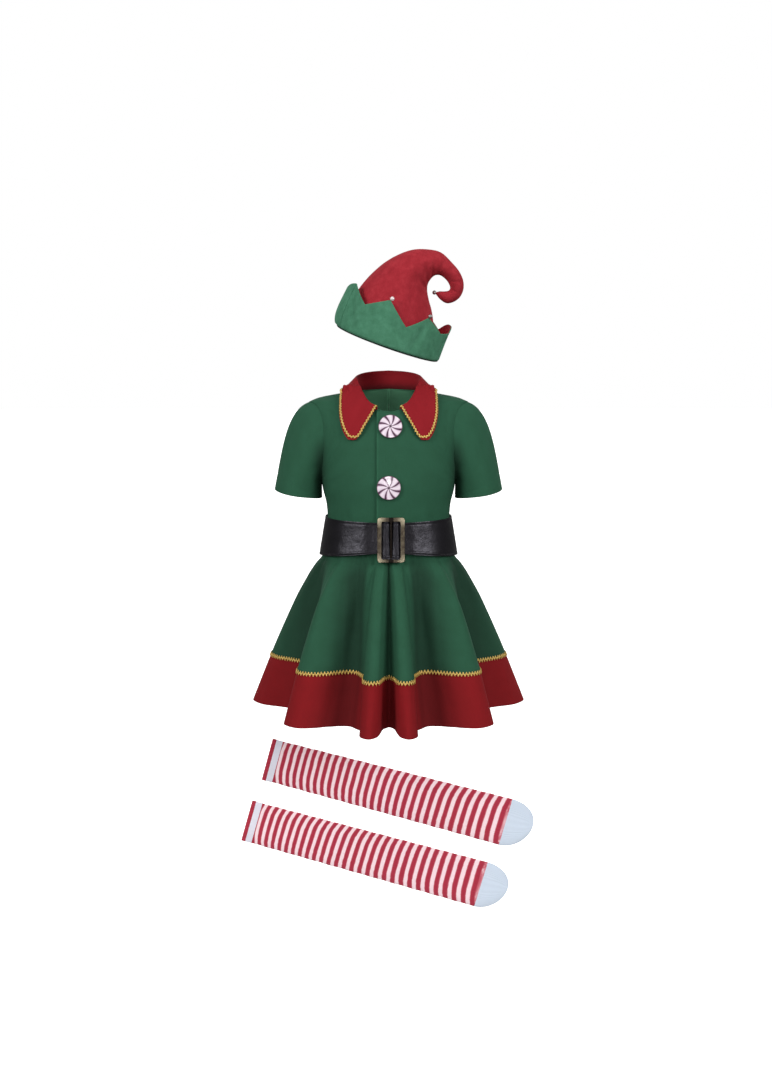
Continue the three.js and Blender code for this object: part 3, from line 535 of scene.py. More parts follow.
cuff = {
    "x": 155.3, "z": -168.8, "half": 37.2, "depth": 46, "tilt": 8.9, "dip": 4, "under": 6.4,
    "under_dip": 3.6,
}
cuff_stitches = {"from_armhole": 104, "wide": 1.5, "depth": 0.5}
sleeve_tuck = 2.2
armhole_fullness = 6
sleeve_runs = table(
    "side out_x out_z up_x up_z",
    (-1, 3, 2, 0, 12),
    (-0.75, 10, 2, -2, 18),
    (0, 25, -14, -8, 38),
    (1, 40, -12, -13.3, 68),
)
sleeve_cut = (300, 120)
sleeve_creases = table(
    "s1 t1 s2 t2 wide depth",
    (40, 8, 62, 60, 8, 1.3),
    (22, 20, 36, 72, 7, 1.0),
    (258, 10, 240, 66, 8, 1.4),
    (284, 24, 272, 80, 6, 0.9),
    (92, 4, 98, 40, 7, 0.7),
    (206, 4, 204, 44, 7, 0.7),
)


def sleeve_point(u, v):
    """u runs round the sleeve from under the arm, v from the armhole to the cuff."""
    turn = 2 * math.pi * u
    side, depth = -math.cos(turn), -math.sin(turn)
    middle = (underarm_height + shoulder_tip_height) / 2
    tall = (shoulder_tip_height - underarm_height) / 2
    start = armhole_point(middle + tall * side, -1 if depth < 0 else 1)
    start.x -= sleeve_tuck
    tilt = math.radians(cuff["tilt"])
    under = max(-side, 0) ** 3
    end_x = cuff["x"] + cuff["half"] * side * math.cos(tilt) - cuff["under"] * under
    end_z = cuff["z"] + cuff["half"] * side * math.sin(tilt) - cuff["dip"] * abs(depth)
    end = Vector((end_x, cuff["depth"] * depth, end_z - cuff["under_dip"] * under))
    run = read(sleeve_runs, "side", side)
    a = start + Vector((run["out_x"], armhole_fullness * depth, run["out_z"]))
    b = end + Vector((run["up_x"], 0, run["up_z"]))
    w = 1 - v
    return start * w**3 + a * 3 * w * w * v + b * 3 * w * v * v + end * v**3


def sleeve_rise(s, t, p):
    from_stitches = (t - cuff_stitches["from_armhole"]) / cuff_stitches["wide"]
    hem_line = cuff_stitches["depth"] * math.exp(-(from_stitches**2))
    return -hem_line - crease_depth(sleeve_creases, s, t)


for label, side in (("left", 1), ("right", -1)):
    sleeve = cloth_piece(
        f"sleeve_{label}",
        (96, 40),
        sleeve_cut,
        lambda u, v: sleeve_point(u, v) * Vector((side, 1, 1)),
        centre=(side * 145, 0, -100),
        wraps=True,
        rise=sleeve_rise,
    )
    store_painted_light(sleeve, underarm_painted_shade)
    make_real(sleeve, f"sleeve_{label}", "dress_cloth", green_knit)

# Skirt and hem band: a flared skirt of the green knit that falls in deep folds from under the belt,
# with a band of red knit sewn to its lower edge. Both are front and back pieces with side seams.

waist_height = -245
seam_height = -447.7
hem_height = -529.1
skirt_width = 560
skirt_steps = (240, 56)
band_cut = (760, 87)
band_steps = (240, 20)
band_seam_at = 81
# The hollows turn from their direction at the top to that at the hem between two heights, and painted shade
# grows in them from another pair down. Past this many half widths a hollow isn't felt.
hollow_turn = {"from_z": -285, "drop": 145}
hollow_shade_spread = {"from_z": -240, "full_z": -310, "narrowed": 0.6}
hollow_reach = 3.5
# Shares of the painted shade that the band keeps at its front and towards its sides
band_painted_shade = {"front": 0.82, "side": 0.3, "side_from": 48, "side_full": 62, "blend": 4}
skirt_folds = table(
    "azimuth hem seam",
    (0, 178, 176),
    (2.6, 179, 178),
    (4.4, 222, 203),
    (7.7, 236, 209),
    (11.4, 228, 201),
    (14, 194, 170),
    (19, 192, 163),
    (26, 197, 164),
    (34, 210, 176),
    (41, 222, 190),
    (47, 227, 198),
    (53, 210, 188),
    (60, 174, 164),
    (66, 166, 158),
    (74, 186, 170),
    (82, 220, 192),
    (90, 234.5, 202),
    (98, 224, 195),
    (107, 186, 168),
    (115, 178, 163),
    (124, 206, 180),
    (132, 222, 193),
    (140, 206, 180),
    (149, 180, 163),
    (158, 184, 166),
    (168, 214, 185),
    (180, 222, 192),
)
skirt_flare = table(
    "down share",
    (0, 0),
    (0.08, 0.02),
    (0.155, 0.05),
    (0.22, 0.165),
    (0.285, 0.262),
    (0.355, 0.35),
    (0.49, 0.51),
    (0.63, 0.652),
    (0.765, 0.783),
    (0.905, 0.915),
    (1, 1),
)
# Hollows between the folds: their directions at the top and at the hem, their half width in degrees, their
# depth, the heights where they start and are fully deep, and how much shade is painted in them (pressed). A
# ridge has a negative depth.
skirt_hollows = table(
    "top_azimuth azimuth wide depth from_z full_z pressed",
    (0.3, 0.3, 1.8, 9, -258, -285, 0.8),
    (-31, -24, 8, 17, -258, -385, 1.1),
    (31, 24, 8, 17, -258, -380, 1.1),
    (-23.5, -20, 3, 2.5, -250, -290, 0.4),
    (23, 20, 3, 2.5, -250, -295, 0.4),
    (-52, -40, 5.5, -6, -258, -400, 0),
    (52, 40, 5.5, -6, -258, -400, 0),
    (-38, -31, 1.8, 2.4, -258, -340, 0),
    (40, 32, 1.6, 2, -258, -330, 0),
    (-72, -60, 7, 9, -258, -380, 0.8),
    (72, 61, 7, 9, -258, -380, 0.8),
    (-82, -74, 12, 0, -258, -330, 0.8),
    (82, 74, 12, 0, -258, -330, 0.8),
    (112, 112, 6, 10, -258, -390, 0.8),
    (-113, -113, 6, 10, -258, -390, 0.8),
    (152, 152, 6, 11, -258, -390, 0.8),
    (-154, -154, 6, 11, -258, -390, 0.8),
    (133, 133, 5, -4, -258, -420, 0),
    (-131, -131, 5, -4, -258, -420, 0),
)
fold_shape = {}


def fold_at(azimuth):
    """How far out the cloth stands in a direction: at the waist, at the band's seam and at the hem."""
    key = round(azimuth, 3)
    if key not in fold_shape:
        a = math.radians(azimuth)
        half, reach, power = torso_reach(waist_height, -1 if math.cos(a) > 0 else 1)
        level = (abs(math.sin(a)) / half) ** power + (abs(math.cos(a)) / reach) ** power
        fold = read(skirt_folds, "azimuth", abs(azimuth))
        fold_shape[key] = (level ** (-1 / power), fold["seam"], fold["hem"])
    return fold_shape[key]


def hollow_at(azimuth, z):
    """How deep the cloth lies in the hollows and how much shade is painted there."""
    depth, pressed = 0, 0
    lower = clamp((hollow_turn["from_z"] - z) / hollow_turn["drop"], 0, 1)
    hollow_shade_share = smooth(-z, -hollow_shade_spread["from_z"], -hollow_shade_spread["full_z"])
    for h in skirt_hollows:
        apart = abs(azimuth - mix(h["top_azimuth"], h["azimuth"], lower))
        apart = min(apart, 360 - apart)
        if apart < hollow_reach * h["wide"]:
            near = (apart / h["wide"]) ** 2
            depth += h["depth"] * smooth(-z, -h["from_z"], -h["full_z"]) * math.exp(-near)
            pressed += h["pressed"] * hollow_shade_share * math.exp(-near * hollow_shade_spread["narrowed"])
    return depth, min(pressed, 1)


def skirt_point(azimuth, z):
    """A point of the skirt or band in a direction from the front, towards +X where it is positive."""
    waist, seam, hem = fold_at(azimuth)
    if z > seam_height:
        down = (waist_height - z) / (waist_height - seam_height)
        distance = mix(waist, seam, read(skirt_flare, "down", down, ["share"])["share"])
    else:
        distance = mix(seam, hem, (seam_height - z) / (seam_height - hem_height))
    distance -= hollow_at(azimuth, z)[0]
    a = math.radians(azimuth)
    return Vector((distance * math.sin(a), -distance * math.cos(a), z))


def turned(azimuth):
    return azimuth - 360 if azimuth > 180 else azimuth


def skirt_painted_shade(p, on_cut):
    """Painted shade from the hollows: less on the band than on the skirt, least of all towards its side
    seams.
    """
    azimuth = math.degrees(math.atan2(p.x, -p.y))
    on_band = smooth(-p.z, -seam_height - band_painted_shade["blend"], -seam_height + band_painted_shade["blend"])
    towards_side = smooth(abs(azimuth), band_painted_shade["side_from"], band_painted_shade["side_full"])
    share = mix(1, mix(band_painted_shade["front"], band_painted_shade["side"], towards_side), on_band)
    return hollow_at(azimuth, p.z)[1] * share


red_knit = brushed_knit("dark red brushed polyester knit", "#780A10", "#860D15", 0.09)

# Small folds between the big ones: where they start and end, by direction and height
skirt_creases = table(
    "s1 t1 s2 t2 wide depth",
    (-31, 200, -24, 60, 2.6, 2.6),
    (-13, 200, -17, 96, 2.0, 2.0),
    (-52, 200, -55, 40, 3.2, 2.6),
    (-76, 196, -74, 90, 3.0, 2.2),
    (14, 200, 18, 84, 2.0, 2.2),
    (30, 200, 25, 50, 2.8, 2.4),
    (51, 200, 56, 60, 3.0, 2.8),
    (73, 196, 77, 70, 3.2, 2.0),
    (104, 200, 103, 70, 3.2, 2.4),
    (121, 200, 118, 90, 2.8, 2.0),
    (150, 200, 152, 50, 3.0, 2.6),
    (163, 200, 160, 110, 2.2, 1.8),
    (187, 200, 186, 70, 2.8, 2.2),
    (205, 200, 209, 60, 3.0, 2.6),
    (222, 200, 219, 100, 2.4, 2.0),
    (243, 200, 246, 50, 3.2, 2.4),
    (258, 200, 257, 90, 2.6, 1.8),
)
skirt_cut = (skirt_width, waist_height - seam_height)
for label, from_azimuth, facing in (("front", -90, -1), ("back", 90, 1)):
    gap = facing * seam_gap / 2

    def skirt_place(u, v):
        z = mix(seam_height + seam_gap / 2, waist_height - seam_gap, v)
        return skirt_point(turned(from_azimuth + 180 * u), z) + Vector((0, gap, 0))

    def skirt_rise(s, t, p):
        small = crease_depth(skirt_creases, from_azimuth + 180 * s / skirt_width, t)
        return seam_roll(t) - small

    skirt = cloth_piece(
        f"skirt_{label}", skirt_steps, skirt_cut, skirt_place, centre=(0, 0, -350), rise=skirt_rise
    )
    store_painted_light(skirt, skirt_painted_shade)
    make_real(skirt, f"skirt_{label}", "dress_cloth", green_knit)

    def band_place(u, v):
        z = mix(hem_height, seam_height - seam_gap / 2, v)
        return skirt_point(turned(from_azimuth + 180 * u), z) + Vector((0, gap, 0))

    def band_rise(s, t, p):
        return seam_roll(band_seam_at - t)

    band = cloth_piece(
        f"hem_band_{label}", band_steps, band_cut, band_place, centre=(0, 0, -480), rise=band_rise
    )
    store_painted_light(band, skirt_painted_shade)
    make_real(band, f"hem_band_{label}", "band_cloth", red_knit)

# Ric-rac: flat gold braid woven in waves 5.3 mm long, sewn over the band's seam all round. Its
# metallised yarn glitters a little more than cloth.

wave_pitch = 5.3
wave_reach = 1.9
braid_half = 2.1
braid_wall = 1.2
braid_lift = 1.0
braid_dome = 0.5
braid_core = 0.7
steps_in_wave = 10
trim_points = 720
trim_gap = 0.4
nearby = {"turn": 0.2, "rise": 3}


def metallised_braid(name, colour, dark_colour):
    """Ric-rac of metallised yarn: a plait of bright strands with dark gaps between them."""
    material, tree, shader = new_material(name)
    on_cut = add_node(tree, "UVMap", uv_map="cut").outputs["UV"]
    # Strands 0.9 mm apart across the braid
    plait = {"Vector": on_cut, "Scale": math.pi / 10 / 0.0009, "Distortion": 2.5, "Detail": 1.0}
    strands = add_node(tree, "TexWave", plait, bands_direction="DIAGONAL")
    tones = {"Factor": strands.outputs["Fac"], "A": linear(dark_colour), "B": linear(colour)}
    colours = add_node(tree, "Mix", tones, data_type="RGBA")
    relief = add_node(tree, "Bump", {"Height": strands.outputs["Fac"], "Strength": 0.6, "Distance": 0.0004})
    finish = {
        "Base Color": colours.outputs["Result"],
        "Normal": relief.outputs["Normal"],
        "Roughness": 0.42,
        "Metallic": 0.35,
    }
    set_inputs(tree, shader, finish)
    return material


gold_braid = metallised_braid("gold metallised ric-rac", "#E9C873", "#B48C3C")


def ric_rac(name, centres, normals, waviness=wave_reach, half=braid_half):
    """A wavy strip along a line of points in millimetres, lying square to their normals."""
    lengths = [0]
    for a, b in zip(centres, centres[1:]):
        lengths.append(lengths[-1] + (b - a).length)
    steps = int(lengths[-1] / (wave_pitch / steps_in_wave))

    def at(distance):
        low, high = 0, len(lengths) - 2
        while low < high:
            half_way = (low + high + 1) // 2
            if lengths[half_way] <= distance:
                low = half_way
            else:
                high = half_way - 1
        one, two = centres[low], centres[low + 1]
        share = clamp((distance - lengths[low]) / max(lengths[low + 1] - lengths[low], 1e-6), 0, 1)
        normal = normals[low].lerp(normals[low + 1], share).normalized()
        return one.lerp(two, share), normal, (two - one).normalized()

    def place(u, v):
        distance = u * lengths[-1]
        point, normal, along = at(distance)
        sideways = normal.cross(along).normalized()
        wave = waviness * math.sin(2 * math.pi * distance / wave_pitch)
        dome = braid_wall * braid_dome * (1 - (2 * v - 1) ** 2)
        return point + sideways * (wave + (2 * v - 1) * half) + normal * dome

    middle_z = sum(c.z for c in centres) / len(centres)
    cut = (lengths[-1], half * 2)
    wall = braid_wall * braid_core
    return cloth_piece(name, (steps, 4), cut, place, wall=wall, centre=(0, 0, middle_z))


for label, from_azimuth, facing in (("front", -90, -1), ("back", 90, 1)):
    centres, normals = [], []
    for step in range(trim_points + 1):
        azimuth = turned(from_azimuth + 180 * step / trim_points)
        before = skirt_point(azimuth - nearby["turn"], seam_height)
        after = skirt_point(azimuth + nearby["turn"], seam_height)
        above = skirt_point(azimuth, seam_height + nearby["rise"])
        below = skirt_point(azimuth, seam_height - nearby["rise"])
        normal = (after - before).cross(above - below).normalized()
        normals.append(normal)
        apart = Vector((0, facing * trim_gap / 2, 0))
        centres.append(skirt_point(azimuth, seam_height) + normal * braid_lift + apart)
    trim = ric_rac(f"skirt_trim_{label}", centres, normals)
    make_real(trim, f"skirt_trim_{label}", "gold_braid", gold_braid)

# Collar: a pointed collar of doubled red knit on a low stand. It is sewn to the neck edge, rolls
# over and lies on the chest and shoulders.

collar_wall = 2.2
collar_clear = 2.0
collar_cut = (430, 92)
collar_stations = table(
    "turn neck rise roll out_x out_y out_z",
    (0, 21, 2.2, 3, 49, -80, -70),
    (1, 27, 2.6, 3.6, 56, -80, -76),
    (2, 34, 3.6, 4.2, 65, -78, -76),
    (3, 44, 6, 5, 73, -68, -67),
    (4, 56, 10, 5.4, 78, -50, -44),
    (5, 72, 14.5, 5.8, 79, -25, -15),
    (6, 90, 18.5, 6, 76.5, 0, 0),
    (7, 112, 22.5, 6, 73, 28, -3),
    (8, 136, 26, 5.6, 60, 55, -6),
    (9, 158, 27.5, 5.2, 36, 70, -8),
    (10, 180, 27.7, 5, 0, 76, -9),
)
last_turn = 10
# The stand's curve: how it leans and is sewn in, and its points as millimetres or shares of its rise,
# its roll and the wall
stand = {
    "lean": 0.5, "lean_from": 20, "lean_gone": 100, "sunk": 0.2, "above_seam": 0.4, "inset": 0.8,
    "inside": 0.7, "top_up": 1.6, "top_out": 0.45, "over_up": 0.86, "over_out": 1.8, "below_neck": 1.2,
}
plump = {"rise": 0.6, "from_edge": 9, "below_stand": 40}
# Painted shade at the collar's neck seam and where it rolls over the shoulders
stand_seam_shade = {"reach": 8, "pressed": 1.25}
shoulder_roll_shade = {"aside": 122, "wide": 18, "until": 22, "gone": 34, "pressed": 0.9}


def torso_level(p):
    ring = read(torso_rings, "z", p.z)
    reach = ring["front"] if p.y < 0 else ring["back"]
    return (abs(p.x) / ring["half"]) ** ring["power"] + (abs(p.y) / reach) ** ring["power"] - 1


def torso_slope(p):
    small = 0.05
    ways = [Vector([small if k == axis else 0 for k in range(3)]) for axis in range(3)]
    return Vector([(torso_level(p + way) - torso_level(p - way)) / (2 * small) for way in ways])


def stand_clear(p, distance, only_if_nearer=False):
    """Moves a point square to the body until it stands clear of it by a distance."""
    for _ in range(8):
        slope = torso_slope(p)
        apart = torso_level(p) / slope.length
        if only_if_nearer and apart > distance:
            return p
        p = p + slope.normalized() * (distance - apart)
    return p


def smooth_curve(points, at):
    """A point on a centripetal curve through a few points."""
    spans = len(points) - 1
    i = min(int(at * spans), spans - 1)
    t = at * spans - i
    p1, p2 = points[i], points[i + 1]
    p0 = points[i - 1] if i > 0 else p1 * 2 - p2
    p3 = points[i + 2] if i + 2 <= spans else p2 * 2 - p1
    d0, d1, d2 = (math.sqrt((b - a).length) for a, b in ((p0, p1), (p1, p2), (p2, p3)))
    t1 = ((p1 - p0) / d0 - (p2 - p0) / (d0 + d1) + (p2 - p1) / d1) * d1
    t2 = ((p2 - p1) / d1 - (p3 - p1) / (d1 + d2) + (p3 - p2) / d2) * d1
    return p1 + t1 * t + (p2 * 3 - p1 * 3 - t1 * 2 - t2) * t**2 + (p1 * 2 - p2 * 2 + t1 + t2) * t**3


def collar_section(turn):
    s = read(collar_stations, "turn", turn)
    facing = -1 if s["neck"] <= 90 else 1
    neck = neck_point(s["neck"] if s["neck"] <= 90 else 180 - s["neck"], facing)
    normal = torso_slope(neck).normalized()
    outwards = Vector((neck.x, neck.y, 0)).normalized()
    base = neck - normal * stand["sunk"]
    lean = stand["lean"] * (1 - smooth(s["neck"], stand["lean_from"], stand["lean_gone"]))
    up = Vector((-outwards.x * lean, -outwards.y * lean, 1)).normalized()
    start = base + up * (seam_gap + stand["above_seam"]) - outwards * collar_wall * stand["inset"]
    inside = start + up * s["rise"] * stand["inside"]
    top = start + up * (s["rise"] + stand["top_up"]) + outwards * s["roll"] * stand["top_out"]
    over = start + up * s["rise"] * stand["over_up"] + outwards * (s["roll"] + stand["over_out"])
    chest_lift = placket_rise(min(abs(s["out_x"]), placket_blend))
    clear = collar_wall + collar_clear
    edge = stand_clear(Vector((s["out_x"], s["out_y"], s["out_z"])), clear + chest_lift)
    middle = over.lerp(edge, 0.5)
    lifted = clear + placket_rise(max(middle.x, 0))
    # The stand starts a little below the neck edge, inside the body
    sewn = start - up * stand["below_neck"]
    return [sewn, inside, top, over, stand_clear(middle, lifted, True), edge]


section_cache = {}


def collar_point(u, v):
    """u runs from the wearer's left front end round the back to the right, v from neck to edge."""
    turn = max(last_turn * (1 - abs(2 * u - 1)), 0.001)
    key = round(turn, 4)
    if key not in section_cache:
        section_cache[key] = collar_section(turn)
    p = smooth_curve(section_cache[key], v)
    if v > 0.5:
        p = stand_clear(p, collar_wall + collar_clear + placket_rise(max(p.x, 0)), True)
    return Vector((-p.x, p.y, p.z)) if u > 0.5 else p


collar_red = brushed_knit("red brushed polyester knit", "#85101A", "#921822", 0.15)


def collar_rise(s, t, p):
    """The doubled cloth is a little plump, and thinner along the edge that the braid is sewn to."""
    from_edge = min(collar_cut[1] - t, s, collar_cut[0] - s)
    return plump["rise"] * smooth(from_edge, 0, plump["from_edge"]) if t > plump["below_stand"] else 0


def collar_painted_shade(p, on_cut):
    """Painted shade at the neck seam and where the cloth rolls over the shoulders."""
    at_seam = math.exp(-((on_cut.y / stand_seam_shade["reach"]) ** 2))
    from_middle = abs(on_cut.x - collar_cut[0] / 2)
    at_shoulder = math.exp(-(((from_middle - shoulder_roll_shade["aside"]) / shoulder_roll_shade["wide"]) ** 2))
    at_shoulder *= 1 - smooth(on_cut.y, shoulder_roll_shade["until"], shoulder_roll_shade["gone"])
    return stand_seam_shade["pressed"] * at_seam + shoulder_roll_shade["pressed"] * at_shoulder


collar = cloth_piece(
    "collar", (150, 48), collar_cut, collar_point, wall=collar_wall, centre=(0, 0, -60), rise=collar_rise
)
store_painted_light(collar, collar_painted_shade)
make_real(collar, "collar", "collar_cloth", collar_red)

# Braid on the collar: the same ric-rac in a narrower width, sewn 3 to 4 mm in from the edge. It
# goes down one front end, round the collar and up the other.

front_inset = 4.2
rim_inset = 2.6
front_length = 34
side_length = 80
front_share = 0.12
corner_turn = 0.0385
corner_from = 0.93
collar_braid = {"lift": 1.3, "waviness": 0.9, "half": 1.6}


def collar_normal(u, v):
    small = 0.004
    along = collar_point(min(u + small, 1), v) - collar_point(max(u - small, 0), v)
    across = collar_point(u, min(v + small, 1)) - collar_point(u, max(v - small, 0))
    normal = across.cross(along).normalized()
    return normal if normal.z > -0.2 else -normal


def collar_line():
    """Places on the collar from one neck end, down the front edge, round the point and to the back."""
    front_at = front_share * front_inset / front_length
    side_at = 1 - rim_inset / side_length
    places = [(front_at, mix(0.5, corner_from, k / 40)) for k in range(41)]
    for k in range(1, 21):
        a = k / 20 * math.pi / 2
        turned_in = corner_turn * (1 - math.cos(a))
        places.append((front_at + turned_in, mix(corner_from, side_at, math.sin(a))))
    start = places[-1][0]
    places += [(mix(start, 0.5, k / 120), side_at) for k in range(1, 121)]
    return places


half_line = collar_line()
whole_line = half_line + [(1 - u, v) for u, v in reversed(half_line[:-1])]
collar_normals = [collar_normal(u, v) for u, v in whole_line]
raised = [normal * collar_braid["lift"] for normal in collar_normals]
collar_centres = [collar_point(u, v) + up for (u, v), up in zip(whole_line, raised)]
collar_trim = ric_rac(
    "collar_trim", collar_centres, collar_normals, collar_braid["waviness"], collar_braid["half"]
)
make_real(collar_trim, "collar_trim", "gold_braid", gold_braid)

# Buttons: two large glossy plastic discs, moulded with a low dome and printed with dark plum rays
# that swirl a little from the middle. Each is sewn through a shank to the upper front.

button_radius = 19.5
button_thick = 4.2
button_edge = 1.2
button_rim = 1.4
button_dome = 0.3
shank_gap = 0.5
button_places = table("name x z", ("button_upper", 2.9, -57.8), ("button_lower", 0.3, -154.4))
ray_count = 8
ray_start = 20.3
ray_swirl = -0.45
ray_colours = (
    (0.0, "#F2E4EE"),
    (0.3, "#E2CFDE"),
    (0.4, "#6B4660"),
    (0.5, "#3A1F33"),
    (0.6, "#6B4660"),
    (0.7, "#DCC6D6"),
    (0.85, "#F2E4EE"),
)


def set_ramp(ramp, stops):
    """Gives a colour ramp its stops, each a place and an sRGB colour."""
    for element, (position, colour) in zip(ramp.elements, (stops[0], stops[-1])):
        element.position, element.color = position, linear(colour)
    for position, colour in stops[1:-1]:
        ramp.elements.new(position).color = linear(colour)


def swirled_plastic():
    """Polystyrene with a gloss lacquer: pinkish white, with eight plum rays and a dark rim line."""
    material, tree, shader = new_material("swirled gloss plastic")
    place = add_node(tree, "UVMap", uv_map="disc").outputs["UV"]
    split = add_node(tree, "SeparateXYZ", {"Vector": place})
    across = {0: split.outputs["Y"], 1: split.outputs["X"]}
    angle = add_node(tree, "Math", across, operation="ARCTAN2")
    radius = add_node(tree, "VectorMath", {0: place}, operation="LENGTH").outputs["Value"]
    turning = {0: angle.outputs[0], 1: ray_count / (2 * math.pi), 2: ray_start}
    turns = add_node(tree, "Math", turning, operation="MULTIPLY_ADD")
    curving = {0: radius, 1: ray_swirl, 2: turns.outputs[0]}
    swirled = add_node(tree, "Math", curving, operation="MULTIPLY_ADD")
    phase = add_node(tree, "Math", {0: swirled.outputs[0]}, operation="FRACT")
    ray = add_node(tree, "ValToRGB", {"Fac": phase.outputs[0]})
    set_ramp(ray.color_ramp, ray_colours)
    rim = add_node(tree, "MapRange", {"Value": radius, "From Min": 0.93, "From Max": 0.98})
    lined = {"Factor": rim.outputs["Result"], "A": ray.outputs["Color"], "B": linear("#6B4A5C")}
    colours = add_node(tree, "Mix", lined, data_type="RGBA")
    hub = add_node(tree, "MapRange", {"Value": radius, "From Min": 0.06, "From Max": 0.16})
    dotted = {"Factor": hub.outputs["Result"], "A": linear("#4A2C42"), "B": colours.outputs["Result"]}
    printed = add_node(tree, "Mix", dotted, data_type="RGBA")
    finish = {
        "Base Color": printed.outputs["Result"],
        "Roughness": 0.22,
        "Coat Weight": 0.4,
        "Coat Roughness": 0.08,
    }
    set_inputs(tree, shader, finish)
    return material


swirl = swirled_plastic()


def lathe(profile, sides=64):
    """A turned piece: its profile, as distances from the axis and heights, spun round Z."""
    bm = bmesh.new()
    points = [bm.verts.new((r * mm, 0, h * mm)) for r, h in profile]
    outline = points + [bm.edges.new(pair) for pair in zip(points, points[1:])]
    whole = 2 * math.pi
    bmesh.ops.spin(bm, geom=outline, axis=(0, 0, 1), angle=whole, steps=sides, use_merge=True)
    bmesh.ops.remove_doubles(bm, verts=bm.verts, dist=0.001 * mm)
    bmesh.ops.recalc_face_normals(bm, faces=bm.faces)
    for face in bm.faces:
        face.smooth = True
    return bm


button_profile = [(0, 0), (button_radius - button_edge, 0)]
for k in range(9):
    a = math.radians(-90 + 20 * k)
    out = button_radius - button_rim * (1 - math.cos(a))
    button_profile.append((out, button_thick / 2 - 0.2 + (button_thick / 2 - 0.4) * math.sin(a)))
button_profile.append((button_radius - 3.2, button_thick - 0.9))
button_profile += [(button_radius * 0.5, button_thick), (0, button_thick + button_dome)]
for place in button_places:
    seat = Vector((place["x"], depth_at(place["x"], place["z"], -1), place["z"]))
    normal = torso_slope(seat).normalized()
    bm = lathe(button_profile)
    disc = bm.loops.layers.uv.new("disc")
    for face in bm.faces:
        for loop in face.loops:
            loop[disc].uv = loop.vert.co.xy / (button_radius * mm)
    # The face turns from up to the way that the cloth faces, with the pattern's top still up
    turn = Matrix((Vector((1, 0, 0)), normal.cross(Vector((1, 0, 0))), normal)).transposed().to_4x4()
    bm.transform(Matrix.Translation((seat + normal * (placket_lift + shank_gap)) * mm) @ turn)
    button = link_mesh(place["name"], bm)
    make_real(button, place["name"], "button_plastic", swirl)

# Belt: a wide strap of black imitation leather with a soft half gloss. It lies over the waist seam
# and swells in the two windows of its buckle, where the strap goes under and over the middle bar.

belt = {
    "wall": 2.2, "clear": 1.6, "side_top": -209, "side_bottom": -273, "front_top": -211,
    "front_bottom": -259, "side_slope": 0.166, "front_slope": 0.11, "front_lift": 2.8, "reach": 98,
    "lift_from": 34, "lift_gone": 66,
}
buckle = {
    "x": 3.9, "z": -238.5, "width": 44.6, "height": 73, "bar": 7, "centre_bar": 3.2, "thick": 4,
    "corner": 5, "window_corner": 1.8, "rounding": 1.3, "roll_half": 5.9, "roll_rise": 4.2,
    "roll_gap": 0.5, "clear": 0.5,
}
# How far the strap widens above and below in the buckle's windows, and where that ends
gather = {"above": 3.5, "below": 9.5, "until": 14, "gone": 18}
front_crowding = 50
strap_hollow = 2.2
lip = {"rise": 1.3, "from": 4.5, "to": 0.5, "front_from": 45, "front_full": 78}
pressed_line = {"from_edge": 5, "wide": 1.1, "depth": 0.4}


def belt_roll(x):
    roll_middle = buckle["centre_bar"] / 2 + buckle["roll_gap"] + buckle["roll_half"]
    t = abs(abs(x - buckle["x"]) - roll_middle) / buckle["roll_half"]
    return buckle["roll_rise"] * math.sqrt(1 - t * t) if t < 1 else 0


def belt_point(azimuth, share):
    """share runs from the belt's top edge to its bottom edge."""
    a = math.radians(azimuth)
    sideways = abs(math.sin(a)) ** 1.5
    top = mix(belt["front_top"], belt["side_top"], sideways)
    bottom = mix(belt["front_bottom"], belt["side_bottom"], sideways)
    if math.cos(a) > 0:
        # The strap is wider where it is gathered into the buckle's windows
        off_buckle = abs(belt["reach"] * math.sin(a) - buckle["x"])
        in_buckle = 1 - smooth(off_buckle, gather["until"], gather["gone"])
        top += gather["above"] * in_buckle
        bottom -= gather["below"] * in_buckle
    z = mix(top, bottom, share)
    half, reach, power = torso_reach(belt["side_top"], -1 if math.cos(a) > 0 else 1)
    level = (abs(math.sin(a)) / half) ** power + (abs(math.cos(a)) / reach) ** power
    slope = mix(belt["front_slope"], belt["side_slope"], sideways)
    distance = level ** (-1 / power) + belt["clear"] + belt["wall"] + slope * (belt["side_top"] - z)
    p = Vector((distance * math.sin(a), -distance * math.cos(a), z))
    if p.y < 0:
        lift = belt["front_lift"] * (1 - smooth(abs(p.x), belt["lift_from"], belt["lift_gone"]))
        p.y -= belt_roll(p.x) + lift
    return p


